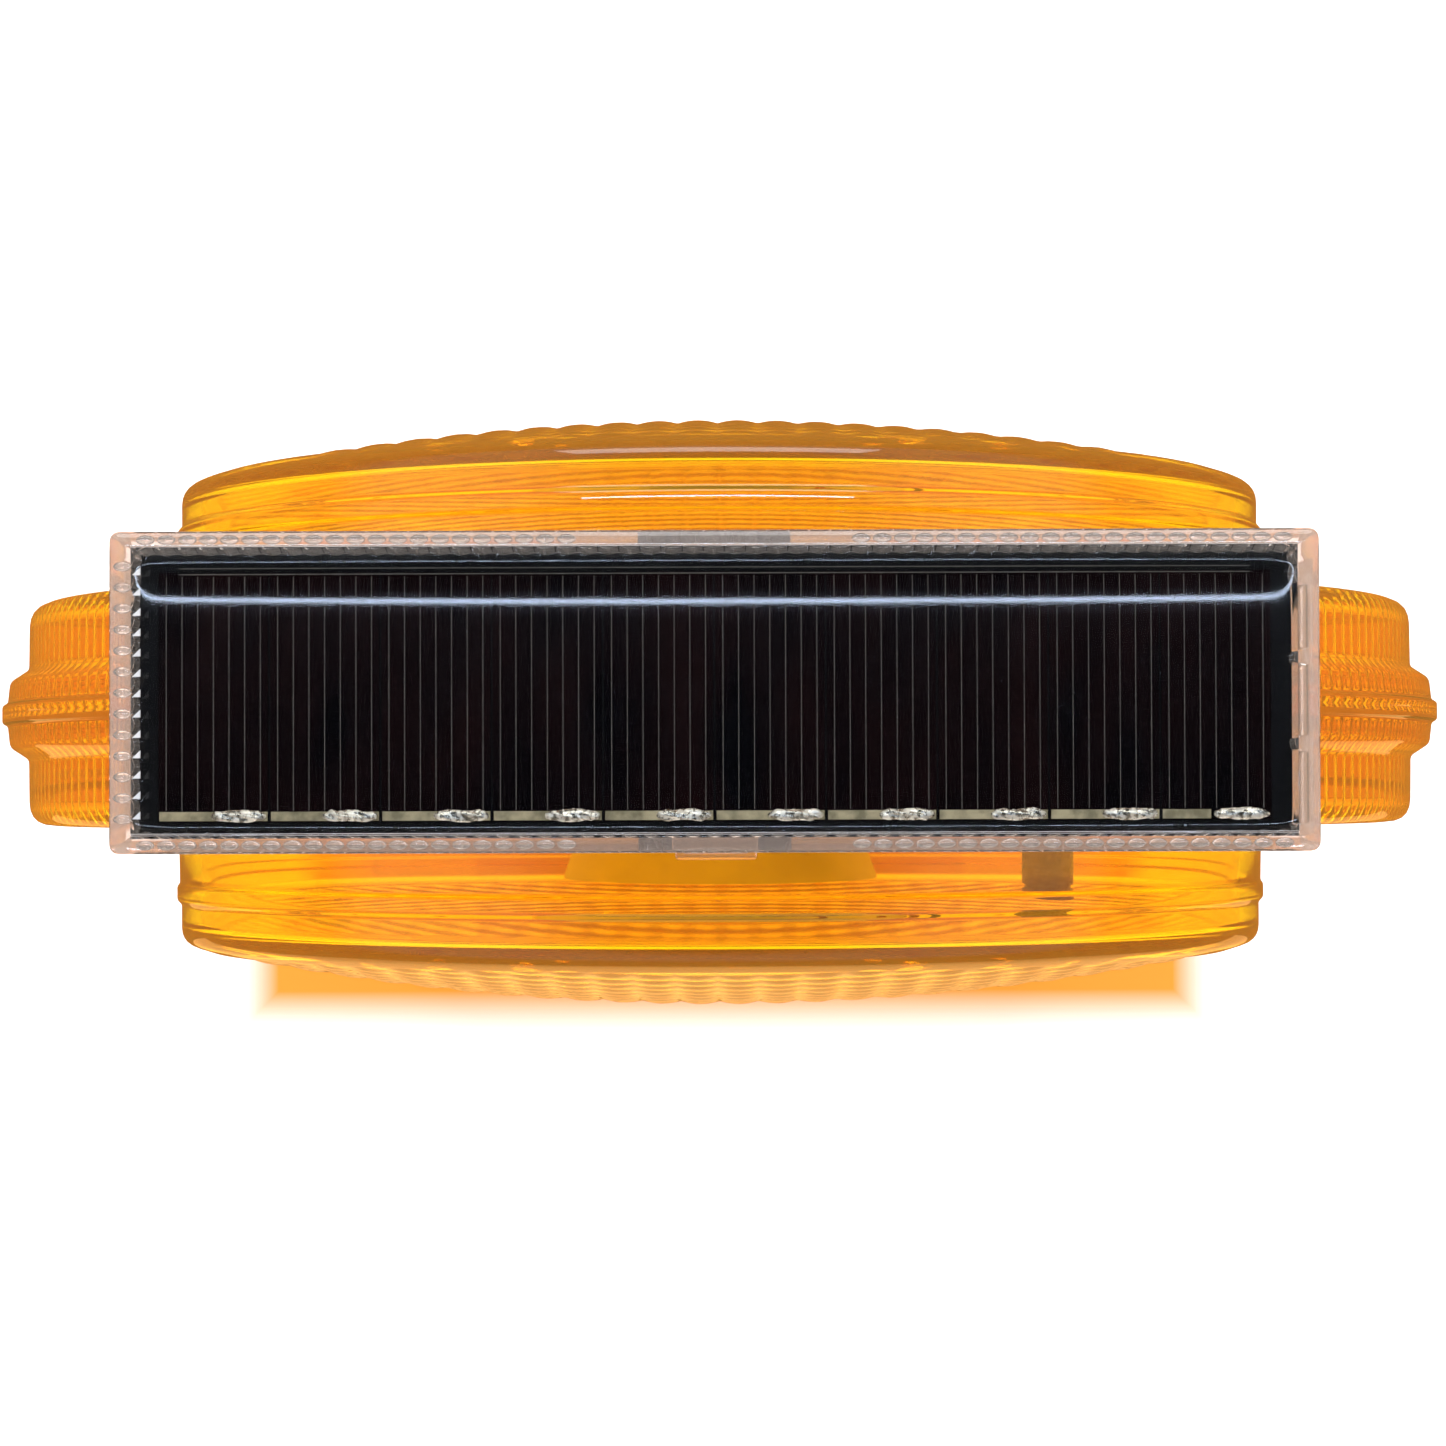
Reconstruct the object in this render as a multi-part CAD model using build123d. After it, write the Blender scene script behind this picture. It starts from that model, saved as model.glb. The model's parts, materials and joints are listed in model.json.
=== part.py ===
from build123d import *
from math import cos, radians, sin, sqrt
import os

# Two-way solar barricade warning light. Millimetres, +Z up, front lens towards -Y,
# origin at the middle of the underside of the battery case.

# ---- driving dimensions ----
CZ = 190.0                              # height of the lens centre
LIP_R, RING_R, DRUM_R = 95.0, 91.5, 71.9    # seam lip, shoulder ring, lens drum
LIP_D, RING_D, DRUM_D = 5.8, 14.3, 30.4     # their half depths
DOME_D = 38.3                           # half depth at the top of the lens dome
SHELL = 2.3                             # wall of the amber mouldings
CASE_X, CASE_Y, CASE_H = 63.0, 33.0, 84.0   # battery case, half width, half depth, height
CASE_R, POST_X, POST_Y = 4.0, 56.3, 26.3   # its corner radius and screw posts
CASE_WALL, CASE_TOP = 2.5, 3.0
PLATE_T = 4.0                           # bottom plate
SLEEVE_Z, SLEEVE_R, BOLT_R = 16.0, 8.0, 6.9  # steel sleeve for a 1/2 in mounting bolt
BAY_Z0, BAY_Z1, BAY_WALL = 25.0, 57.0, 1.5  # battery bay inside the case
CELL_Z, CELL_Y, CELL_R = 41.0, 13.1, 12.9   # four C cells in two rows
PANEL_X = 64.2                          # back of the drawer panel
COLLAR_R, COLLAR_Z = 22.0, 89.0         # swivel collar on the case
SPIGOT_R, SPIGOT_BORE = 15.0, 8.0
TIE_X, TIE_Y = 18.0, 8.0                # screws that hold the foot and the saddle on the ring
SWIVEL_GAP = 0.35
FOOT_Z, FOOT_R = 89.6, 24.0
TRAY_X, TRAY_Y = 60.9, 16.25            # clear tray, half sizes
TRAY_Z0, TRAY_Z1 = CZ + 97.0, CZ + 116.0
TRAY_END, TRAY_SIDE = 2.1, 1.5          # its walls
BOARD_Z = TRAY_Z1 - 6.3                 # underside of the solar board
CELLS, CELL_PITCH, CELL_W = 10, 11.3, 11.1
CELL_Y0, CELL_Y1 = -13.1, 12.1          # front and rear edges of the cells
LATCH_W, PIVOT_Y, PIVOT_Z = 4.5, 15.3, TRAY_Z1 - 9.0
LED_R, LED_RING = 2.5, 11.5
WIRE_R = 0.7


# ---- small helpers ----
def block(x0, x1, y0, y1, z0, z1):
    size = (x1 - x0, y1 - y0, z1 - z0)
    return Pos((x0 + x1) / 2, (y0 + y1) / 2, (z0 + z1) / 2) * Box(*size)


def rod(axis, a, b, r, x=0.0, y=0.0, z=0.0):
    """Cylinder along axis from a to b; x, y, z place the other two coordinates."""
    body = Cylinder(r, b - a)
    mid = (a + b) / 2
    if axis == "x":
        return Pos(mid, y, z) * Rot(0, 90, 0) * body
    if axis == "y":
        return Pos(x, mid, z) * Rot(90, 0, 0) * body
    return Pos(x, y, mid) * body


def rounded(x, y, z0, z1, r):
    return Pos(0, 0, z0) * extrude(RectangleRounded(2 * x, 2 * y, r), z1 - z0)


def frame(x, y, z0, z1, width, r):
    return rounded(x, y, z0, z1, r) - rounded(x - width, y - width, z0, z1, max(r - width, 0.4))


def corner(sketch, x, y, r):
    """Rounds the sketch corner nearest to x, y."""
    near = sorted(sketch.vertices(), key=lambda v: (v.X - x) ** 2 + (v.Y - y) ** 2)[0]
    return fillet(near, r)


def lathe_y(sketch):
    """Turns a sketch of radius against depth about the lens axis."""
    return Pos(0, 0, CZ) * revolve(sketch, Axis.Y, 360)


def wire(points, bend, r=WIRE_R):
    path = FilletPolyline(*points, radius=bend)
    start = Plane(origin=path @ 0, z_dir=path % 0)
    return sweep(start * Circle(r), path)


def four(x, y, maker):
    return [maker(sx * x, sy * y) for sx in (-1, 1) for sy in (-1, 1)]


def dome_y(r, depth):
    """Depth of the lens dome at radius r, for a dome that tops out at depth."""
    rho = 320.0
    return depth - (rho - sqrt(rho * rho - r * r))


# ---- amber lens head ----
def lens_outline():
    """Outside of one amber half, from the seam at depth 0 to the dome."""
    rim = dome_y(DRUM_R, DOME_D)
    edge = Polyline((0, 0), (LIP_R, 0), (LIP_R, -1.1), (LIP_R - 0.7, -1.5), (LIP_R - 1.0, -4.2),
                    (RING_R + 0.1, -LIP_D), (RING_R, -RING_D), (DRUM_R + 0.3, -RING_D),
                    (DRUM_R, -rim))
    arc = ThreePointArc((DRUM_R, -rim), (36, -dome_y(36, DOME_D)), (0, -DOME_D))
    sk = make_face(edge + arc + Line((0, -DOME_D), (0, 0)))
    sk = corner(sk, RING_R, -RING_D, 3.0)
    sk = corner(sk, DRUM_R + 0.3, -RING_D, 1.2)
    return corner(sk, DRUM_R, -rim, 2.6)


def lens_hollow():
    top = DOME_D - SHELL
    wall, shoulder = DRUM_R - SHELL, RING_D - SHELL
    rim = dome_y(wall, top)
    edge = Polyline((0, 0), (90.3, 0), (90.3, -3.6), (RING_R - SHELL, -LIP_D),
                    (RING_R - SHELL, -shoulder), (wall + 0.2, -shoulder), (wall, -rim))
    arc = ThreePointArc((wall, -rim), (36, -dome_y(36, top)), (0, -top))
    sk = make_face(edge + arc + Line((0, -top), (0, 0)))
    sk = corner(sk, RING_R - SHELL, -shoulder, 1.2)
    return corner(sk, wall, -rim, 1.0)


CLAMP = [(82.0 * cos(radians(a)), 82.0 * sin(radians(a))) for a in (55, 125, 215, 325)]


def lens_blank():
    """One amber half, front side, with the bosses both halves share."""
    outside = lathe_y(lens_outline())
    shell = outside - lathe_y(lens_hollow())
    bosses = [rod("y", -RING_D + 1, 0, 4.6, x=x, z=CZ + z) for x, z in CLAMP]
    pads = [rod("z", CZ - 92, CZ - 84.5, 4.4, x=x, y=-TIE_Y) for x in (-TIE_X, TIE_X)]
    pads += [rod("z", CZ + 84.5, CZ + 92, 4.4, x=x, y=-TIE_Y) for x in (-TIE_X, TIE_X)]
    for piece in bosses + pads:
        shell += piece & outside
    groove = Pos(0, 0, CZ) * Rot(90, 0, 0) * (Cylinder(93.4, 1.6) - Cylinder(91.8, 1.6))
    shell -= groove
    shell -= rod("z", CZ - 97, CZ - 80, 4.0)
    shell -= rod("z", CZ + 80, CZ + 97, 3.4)
    for x in (-TIE_X, TIE_X):
        shell -= rod("z", CZ - 97, CZ - 80, 2.0, x=x, y=-TIE_Y)
        shell -= rod("z", CZ + 80, CZ + 97, 2.0, x=x, y=-TIE_Y)
    return shell


def front_lens():
    shell = lens_blank()
    for x, z in CLAMP:
        shell -= rod("y", -9.0, 1.0, 2.0, x=x, z=CZ + z)
    return shell


def rear_lens():
    shell = lens_blank().mirror(Plane.XZ)
    for x, z in CLAMP:
        shell -= rod("y", -1.0, RING_D + 2, 2.0, x=x, z=CZ + z)
        shell -= rod("y", RING_D - 3.2, RING_D + 2, 3.9, x=x, z=CZ + z)
    return shell


def seam_gasket():
    ring = Pos(0, 0, CZ) * Rot(90, 0, 0) * (Cylinder(93.35, 1.5) - Cylinder(91.85, 1.5))
    return ring - block(-4.5, 4.5, -2, 2, CZ - 100, CZ + 100)


def screw_y(x, z, y_tip, y_seat):
    """Pan-head screw along Y, its head on the +Y side of y_seat."""
    head = rod("y", y_seat, y_seat + 2.4, 3.6, x=x, z=z)
    slot = block(x - 2.6, x + 2.6, y_seat + 1.4, y_seat + 3, z - 0.5, z + 0.5)
    cross = block(x - 0.5, x + 0.5, y_seat + 1.4, y_seat + 3, z - 2.6, z + 2.6)
    return head + rod("y", y_tip, y_seat, 2.0, x=x, z=z) - slot - cross


def screw_z(x, y, z_tip, z_seat, r=2.0, head=3.6):
    """Pan-head screw along Z with its head beyond z_seat, on the side away from z_tip."""
    way = 1 if z_seat > z_tip else -1
    top = z_seat + way * 2.2
    body = rod("z", min(z_tip, z_seat), max(z_tip, z_seat), r, x=x, y=y)
    body += rod("z", min(z_seat, top), max(z_seat, top), head, x=x, y=y)
    low, high = sorted((top - way * 1.0, top + way))
    body -= block(x - 2.5, x + 2.5, y - 0.5, y + 0.5, low, high)
    return body - block(x - 0.5, x + 0.5, y - 2.5, y + 2.5, low, high)


def lens_screws():
    return [screw_y(x, CZ + z, -8.5, RING_D - 3.2) for x, z in CLAMP]


# ---- swivel foot under the head ----
def lens_solid():
    half = lathe_y(lens_outline())
    return half + half.mirror(Plane.XZ)


def swivel_foot():
    body = rod("z", FOOT_Z, 95.0, FOOT_R) + block(-30, 30, -13.8, 13.8, 93.0, 106.0)
    body += rod("z", 76.0, FOOT_Z + 1, SPIGOT_R)
    body = fillet(body.edges().filter_by(Axis.Z).filter_by(lambda e: abs(e.center().X) > 29), 3)
    body -= lens_solid()
    body -= rod("z", 70, 110, SPIGOT_BORE)
    body -= rod("z", 78.8, 80.0, SPIGOT_R + 1) - rod("z", 78.8, 80.0, 13.0)
    for x in (-TIE_X, TIE_X):
        for y in (-TIE_Y, TIE_Y):
            body -= rod("z", 92.0, 110, 2.0, x=x, y=y)
    return body


def foot_screws():
    return four(TIE_X, TIE_Y, lambda x, y: screw_z(x, y, 92.0, CZ - 84.5))


def swivel_clip():
    ring = rod("z", 78.8, 80.0, 18.0) - rod("z", 78.8, 80.0, 13.0)
    return ring - block(-3, 3, 10, 20, 78, 81)


def swivel_washer():
    return rod("z", 80.0, 80.7, 21.0) - rod("z", 80.0, 80.7, SPIGOT_R + 0.05)


def swivel_seal():
    return Pos(0, 0, COLLAR_Z - 0.9) * Torus(18.2, 1.1)


# ---- light engine in the drum ----
def led_carrier():
    """White plate across the head that holds both lamp boards and the controller."""
    z0, z1 = CZ - 78.0, CZ + 78.0
    body = block(-26, 26, -2, 2, z0, z1) + block(-26, 46, -2, 2, CZ + 20, CZ + 62)
    for way in (-1, 1):
        for x in (-19, 19):
            end = CZ + way * sqrt((RING_R - SHELL) ** 2 - 23 ** 2)
            low, high = sorted((CZ + way * 77.0, end))
            body += block(x - 4, x + 4, -2, 2, low, high)
            body += block(x - 4, x + 4, -11.9, 11.9, low, low + 2) if way > 0 else \
                block(x - 4, x + 4, -11.9, 11.9, high - 2, high)
    for side in (-1, 1):
        low, high = sorted((side * 2, side * 6))
        for a in (45, 135, 225, 315):
            x, z = 16.5 * cos(radians(a)), 16.5 * sin(radians(a))
            body += rod("y", low, high, 2.2, x=x, z=CZ + z)
            low2, high2 = sorted((side * 6, side * 9))
            body += rod("y", low2, high2, 1.0, x=x, z=CZ + z)
    body -= block(-7, 7, -3, 3, CZ + 34, CZ + 90)
    body -= block(-8, 8, -3, 3, CZ - 90, CZ - 84)
    body -= block(-8, 8, -3, 3, CZ - 79, CZ - 66)
    return body - rod("y", -3, 3, 2.6, x=22, z=CZ + 24)


def lamp_board(side):
    low, high = sorted((side * 6, side * 7.6))
    body = rod("y", low, high, 20.0, z=CZ)
    for a in (45, 135, 225, 315):
        body -= rod("y", low - 1, high + 1, 1.0, x=16.5 * cos(radians(a)), z=CZ + 16.5 * sin(radians(a)))
    return body


def lamp_leds(side):
    """Six lamps in a ring and one in the middle, each with its round nose."""
    spots = [(0.0, 0.0)]
    spots += [(LED_RING * cos(radians(a)), LED_RING * sin(radians(a))) for a in range(30, 390, 60)]
    made = []
    for x, z in spots:
        low, high = sorted((side * 7.6, side * 12.0))
        foot_low, foot_high = sorted((side * 7.6, side * 8.6))
        body = rod("y", low, high, LED_R, x=x, z=CZ + z)
        body += Pos(x, side * 12.0, CZ + z) * Sphere(LED_R)
        made.append(body + rod("y", foot_low, foot_high, 2.9, x=x, z=CZ + z))
    return made


def reflector(side):
    """Open white cup round the lamps, standing on its board."""
    pts = [(16.0, 7.6), (17.3, 7.6), (21.2, 24.0), (20.0, 24.0), (15.4, 9.2), (0.0, 9.2), (0.0, 8.7),
           (15.0, 8.7)]
    body = lathe_y(make_face(Polyline(*[(x, -y) for x, y in pts], close=True)))
    body -= rod("y", -10.0, -7.2, 3.1, z=CZ)
    for a in range(30, 390, 60):
        body -= rod("y", -10.0, -7.2, 3.1, x=LED_RING * cos(radians(a)), z=CZ + LED_RING * sin(radians(a)))
    for a in (45, 135, 225, 315):
        body -= rod("y", -10.0, -7.2, 1.1, x=16.5 * cos(radians(a)), z=CZ + 16.5 * sin(radians(a)))
    return body if side < 0 else body.mirror(Plane.XZ)


def control_board():
    return block(10, 44, -3.6, -2, CZ + 26, CZ + 60)


def control_chips():
    """Flasher chip, charge chip, coil and driver on the controller."""
    return [block(17, 25, -5.2, -3.6, CZ + 38, CZ + 43), block(17, 22, -5.0, -3.6, CZ + 31, CZ + 35),
            rod("y", -6.6, -3.6, 3.6, x=30, z=CZ + 47), block(33, 39, -5.8, -3.6, CZ + 36, CZ + 40)]


def storage_capacitor():
    body = rod("y", -23.5, -3.6, 3.0, x=39, z=CZ + 50)
    ring = rod("y", -22.3, -21.7, 3.2, x=39, z=CZ + 50) - rod("y", -22.4, -21.6, 2.7, x=39, z=CZ + 50)
    return body - ring


def solar_plug():
    return block(12, 20, -7.6, -3.6, CZ + 48, CZ + 58)


def solar_wire(red):
    x, z = (-2.2, CZ + 51.0) if red else (2.2, CZ + 54.5)
    top = CZ + 82.0
    return wire([(x, 0, BOARD_Z), (x, 0, top), (x, -5.6, top - 8), (x, -5.6, z), (12, -5.6, z)], 2.0)


def battery_wire(red):
    x, end, z = (26.5, 1.4, CZ - 72.0) if red else (29.5, -1.4, CZ - 76.0)
    return wire([(x, -4.6, CZ + 26), (x, -4.6, z), (end, -4.6, z), (end, 0, z - 9), (end, 0, 68.0)], 2.0)


def lamp_wire(side):
    """Feed from the controller to one lamp board; the rear one goes through the carrier."""
    if side < 0:
        return wire([(14.0, -4.6, CZ + 26.5), (14.0, -4.6, CZ + 22.2), (12.0, -8.3, CZ + 21),
                     (9.5, -8.3, CZ + 16.9)], 1.0, 0.6)
    return wire([(22.0, -4.6, CZ + 26.5), (22.0, -4.6, CZ + 24), (22.0, 4.6, CZ + 24),
                 (14.0, 4.6, CZ + 22.2), (12.0, 8.3, CZ + 21), (9.5, 8.3, CZ + 16.9)], 0.9, 0.6)


# ---- solar module ----
def solar_saddle():
    """Amber bridge that follows the ring and carries the clear tray."""
    x, y, z0, z1 = 57.0, 14.3, CZ + 68.0, TRAY_Z0
    body = block(-x, x, -y, y, z0, z1)
    body -= block(-x + 2.2, x - 2.2, -y + 2.2, y - 2.2, z0 - 1, z1 - 2)
    for px in (-TIE_X, TIE_X):
        for py in (-TIE_Y, TIE_Y):
            body += rod("z", z0, z1 - 1, 4.4, x=px, y=py)
    for px in (-38, 38):
        body += block(px - 1, px + 1, -y + 1, y - 1, z0, z1 - 1)
    body += block(-4.2, 4.2, -y - 1.0, y + 1.0, TRAY_Z0 - 5.0, TRAY_Z0 - 3.0)
    body -= lens_solid()
    body -= rod("z", z0, z1 + 1, 4.6)
    for px in (-TIE_X, TIE_X):
        for py in (-TIE_Y, TIE_Y):
            body -= rod("z", z0, TRAY_Z0 - 1.6, 2.0, x=px, y=py)
    return body


def saddle_screws():
    return four(TIE_X, TIE_Y, lambda x, y: screw_z(x, y, TRAY_Z0 - 2.0, CZ + 84.5))


def wire_grommet():
    body = rod("z", CZ + 86.5, CZ + 97.0, 3.35) + rod("z", CZ + 86.5, CZ + 88.0, 4.6)
    body += rod("z", CZ + 95.2, TRAY_Z0 + 3.2, 4.4) + rod("z", TRAY_Z0 + 1.7, TRAY_Z0 + 3.2, 5.6)
    return body - block(-3.0, 3.0, -0.8, 0.8, CZ + 80, TRAY_Z0 + 5)


def solar_tray():
    """Clear tray: ledge for the panel, shallow pockets and pivots for the two latches."""
    body = rounded(TRAY_X, TRAY_Y, TRAY_Z0, TRAY_Z1, 1.0)
    body -= block(-TRAY_X + TRAY_END, TRAY_X - TRAY_END, -TRAY_Y + TRAY_SIDE, TRAY_Y - TRAY_SIDE,
                  BOARD_Z - 0.6, TRAY_Z1 + 1)
    body -= block(-TRAY_X + 4.6, TRAY_X - 4.6, -TRAY_Y + 3.2, TRAY_Y - 3.2, TRAY_Z0 + 1.6, TRAY_Z1)
    for side in (-1, 1):
        low, high = sorted((side * 14.1, side * 19.0))
        body -= block(-LATCH_W - 0.5, LATCH_W + 0.5, low, high, TRAY_Z0 - 1, PIVOT_Z + 1.3)
        body -= rod("x", -7.9, 7.9, 0.6, y=side * PIVOT_Y, z=PIVOT_Z)
    return body - rod("z", TRAY_Z0 - 1, TRAY_Z0 + 3, 4.4)


def side_latch(side):
    """Clear snap latch: pivots near the rim, hooks under the saddle lug, has a finger lip."""
    y_in, y_out = 15.5, 16.4
    low, high = sorted((side * y_in, side * y_out))
    body = block(-LATCH_W, LATCH_W, low, high, TRAY_Z0 - 8.2, PIVOT_Z)
    body += rod("x", -LATCH_W, LATCH_W, 1.0, y=side * PIVOT_Y, z=PIVOT_Z)
    lip = sorted((side * y_in, side * 17.1))
    body += block(-LATCH_W, LATCH_W, lip[0], lip[1], TRAY_Z0 - 8.2, TRAY_Z0 - 6.8)
    hook = sorted((side * 14.7, side * (y_in + 0.1)))
    body += block(-3.6, 3.6, hook[0], hook[1], TRAY_Z0 - 7.4, TRAY_Z0 - 5.4)
    return body - rod("x", -5, 5, 0.6, y=side * PIVOT_Y, z=PIVOT_Z)


def latch_pin(side):
    return rod("x", -7.8, 7.8, 0.6, y=side * PIVOT_Y, z=PIVOT_Z)


def panel_seal():
    x, y = TRAY_X - TRAY_END - 0.1, TRAY_Y - TRAY_SIDE - 0.1
    outer = block(-x, x, -y, y, BOARD_Z - 0.6, BOARD_Z)
    return outer - block(-x + 2.2, x - 2.2, -y + 1.5, y - 1.5, BOARD_Z - 1, BOARD_Z + 1)


def solar_board():
    x, y = TRAY_X - TRAY_END - 0.1, TRAY_Y - TRAY_SIDE - 0.1
    return block(-x, x, -y, y, BOARD_Z, BOARD_Z + 1.6)


def cell_x(i):
    return (i - (CELLS - 1) / 2) * CELL_PITCH


def solar_cells():
    z = BOARD_Z + 1.6
    return [block(cell_x(i) - CELL_W / 2, cell_x(i) + CELL_W / 2, CELL_Y0, CELL_Y1, z, z + 0.3)
            for i in range(CELLS)]


def cell_ribbons():
    """Flat connector from the front edge of each cell to the next one."""
    z = BOARD_Z + 1.9
    made = []
    for i in range(CELLS):
        x = cell_x(i) + 2.45
        made.append(block(x - 2.7, x + 2.7, CELL_Y0 + 0.1, CELL_Y0 + 1.3, z, z + 0.25))
    return made


def panel_resin():
    """Clear casting resin over the cells, a little proud in the middle."""
    x, y, z0 = TRAY_X - TRAY_END - 0.05, TRAY_Y - TRAY_SIDE - 0.05, BOARD_Z + 1.6
    body = block(-x, x, -y, y, z0, TRAY_Z1 - 0.5)
    crown = extrude(Plane.YZ * Pos(0, TRAY_Z1 - 0.5) * make_face(
        ThreePointArc((-y, 0), (0, 0.7), (y, 0)) + Line((y, 0), (-y, 0))), x - 2, both=True)
    body += crown
    for piece in solar_cells() + cell_ribbons():
        body -= piece
    return body


# ---- battery case ----
def battery_case():
    body = rounded(CASE_X, CASE_Y, 0, CASE_H, CASE_R)
    body = fillet(body.edges().filter_by(lambda e: e.center().Z > CASE_H - 0.1), 3.0)
    body -= rounded(CASE_X - CASE_WALL, CASE_Y - CASE_WALL, -1, CASE_H - CASE_TOP, 1.5)
    body += frame(CASE_X - 1, CASE_Y - 1, 5.2, 6.8, 3.6, 3.0)
    inner = rounded(CASE_X - 1, CASE_Y - 1, PLATE_T + 1.3, 24.0, 3.0)
    for post in four(POST_X, POST_Y, lambda x, y: rod("z", PLATE_T + 1.3, 24.0, 4.6, x=x, y=y)):
        body += post & inner
    body += rod("z", CASE_H - 2, COLLAR_Z, COLLAR_R)
    body -= rod("z", CASE_H - 6, COLLAR_Z + 1, SPIGOT_R + SWIVEL_GAP)
    body -= rod("z", COLLAR_Z - 2.0, COLLAR_Z + 1, 19.3) - rod("z", COLLAR_Z - 2.0, COLLAR_Z + 1, 17.1)
    body += rod("x", 50.0, CASE_X - 0.5, 5.2, z=65.0) & block(45, CASE_X - 0.5, -9, 9, 57.2, 75)
    body -= rod("x", 49.0, CASE_X + 1, 3.2, z=65.0)
    body -= block(CASE_X - 6, CASE_X + 1, -27.4, 27.4, BAY_Z0 + BAY_WALL, BAY_Z1 - BAY_WALL)
    body -= rod("x", -CASE_X - 1, -CASE_X + 4, 4.6, z=69.0)
    body -= rod("y", -CASE_Y - 1, CASE_Y + 1, SLEEVE_R, z=SLEEVE_Z)
    for x, y in four(POST_X, POST_Y, lambda x, y: (x, y)):
        body -= rod("z", 0, 16.0, 1.7, x=x, y=y)
    return body


def bottom_plate():
    body = rounded(CASE_X - CASE_WALL - 0.1, CASE_Y - CASE_WALL - 0.1, 0, PLATE_T, 1.4)
    for x, y in four(POST_X, POST_Y, lambda x, y: (x, y)):
        body -= rod("z", -1, PLATE_T + 1, 1.7, x=x, y=y) + rod("z", -1, 2.4, 3.3, x=x, y=y)
    return body


def plate_gasket():
    body = frame(CASE_X - CASE_WALL - 0.1, CASE_Y - CASE_WALL - 0.1, PLATE_T, 5.2, 1.6, 1.4)
    return body


def plate_screws():
    return four(POST_X, POST_Y, lambda x, y: screw_z(x, y, 14.0, 2.4, r=1.7, head=3.2))


def bolt_sleeve():
    body = rod("y", -CASE_Y, CASE_Y, SLEEVE_R, z=SLEEVE_Z)
    return body - rod("y", -CASE_Y - 1, CASE_Y + 1, BOLT_R, z=SLEEVE_Z)


def battery_bay():
    """Tunnel that guides the drawer, standing on two legs on the bottom plate."""
    x0, x1, y = -59.0, CASE_X - CASE_WALL, 28.3
    body = block(x0, x1, -y, y, BAY_Z0, BAY_Z1)
    body -= block(x0 + BAY_WALL, x1 + 1, -27.4, 27.4, BAY_Z0 + BAY_WALL, BAY_Z1 - BAY_WALL)
    for x in (-42, 42):
        body += block(x - 1.5, x + 1.5, -16, 16, PLATE_T, BAY_Z0 + 0.5)
    for y in (-CELL_Y, CELL_Y):
        body -= block(x0 - 1, x0 + 3, y - 3.2, y + 3.2, CELL_Z - 6, CELL_Z + 6)
    return body


def bay_contacts():
    """Two bronze blades at the blind end of the bay, each with a tail for its wire."""
    made = []
    for y in (-CELL_Y, CELL_Y):
        blade = block(-59.6, -59.0, y - 2.8, y + 2.8, CELL_Z - 7.5, CELL_Z + 18)
        blade += block(-59.2, -55.3, y - 2.6, y + 2.6, CELL_Z - 2.0, CELL_Z - 1.4)
        made.append(blade + block(-55.9, -55.3, y - 2.6, y + 2.6, CELL_Z - 2.0, CELL_Z + 4))
    return made


# ---- battery drawer ----
def battery_drawer():
    z0 = BAY_Z0 + BAY_WALL + 0.35
    body = block(-54.4, PANEL_X + 0.5, -27.0, 27.0, z0, z0 + 1.0)
    for y in (-26.55, 26.55):
        body += block(-54.4, PANEL_X + 0.5, y - 0.45, y + 0.45, z0, CELL_Z)
    body += block(-54.4, -53.4, -27.0, 27.0, z0, CELL_Z + 9)
    body += block(53.6, 54.8, -27.0, 27.0, z0, CELL_Z + 9)
    panel = block(PANEL_X, PANEL_X + 3, -29.5, 29.5, 22.5, 72.5)
    corners = panel.edges().filter_by(Axis.X)
    body += fillet(corners, 5.0)
    body -= rod("x", PANEL_X - 1, PANEL_X + 4, 2.4, z=65.0)
    body -= rod("x", PANEL_X - 1, PANEL_X + 1.5, 4.4, z=65.0)
    for y in (-CELL_Y, CELL_Y):
        body -= block(-55, -53, y - 3.4, y + 3.4, CELL_Z - 5, CELL_Z + 5)
    return body


def drawer_seal():
    outer = block(CASE_X + 0.35, PANEL_X, -29.3, 29.3, 22.7, 59.3)
    return outer - block(CASE_X, PANEL_X + 1, -27.6, 27.6, 24.9, 57.1)


def drawer_screw():
    """Captive thumb screw: plain shank, ribbed knob with a coin slot."""
    knob = rod("x", PANEL_X + 3.35, PANEL_X + 11, 7.0, z=65.0)
    for a in range(0, 360, 30):
        y, z = 7.5 * cos(radians(a)), 65.0 + 7.5 * sin(radians(a))
        knob -= rod("x", PANEL_X + 3, PANEL_X + 12, 1.2, y=y, z=z)
    knob -= block(PANEL_X + 9.4, PANEL_X + 12, -8, 8, 64.2, 65.8)
    body = knob + rod("x", 51.0, PANEL_X + 4, 2.0, z=65.0)
    return body - (rod("x", PANEL_X + 0.3, PANEL_X + 1.1, 2.5, z=65.0)
                   - rod("x", PANEL_X + 0.3, PANEL_X + 1.1, 1.5, z=65.0))


def drawer_clip():
    ring = rod("x", PANEL_X + 0.3, PANEL_X + 1.1, 3.8, z=65.0)
    ring -= rod("x", PANEL_X, PANEL_X + 2, 1.5, z=65.0)
    return ring - block(PANEL_X, PANEL_X + 2, -1.2, 1.2, 65.0, 70.0)


def thread_insert():
    body = rod("x", 50.0, CASE_X - 0.5, 3.2, z=65.0)
    return body - rod("x", 49.0, CASE_X + 1, 2.35, z=65.0)


def cell_spans():
    """Where each of the four battery cells starts and which way its cap points."""
    return [(-51.5, CELL_Y, 1), (-1.4, CELL_Y, 1), (-51.5, -CELL_Y, -1), (-1.4, -CELL_Y, -1)]


def battery_cells():
    made = []
    for x, y, way in cell_spans():
        start = x if way > 0 else x + 1.5
        body = rod("x", start, start + 48.4, CELL_R, y=y, z=CELL_Z)
        made.append(chamfer(body.edges(), 0.6))
    return made


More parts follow.
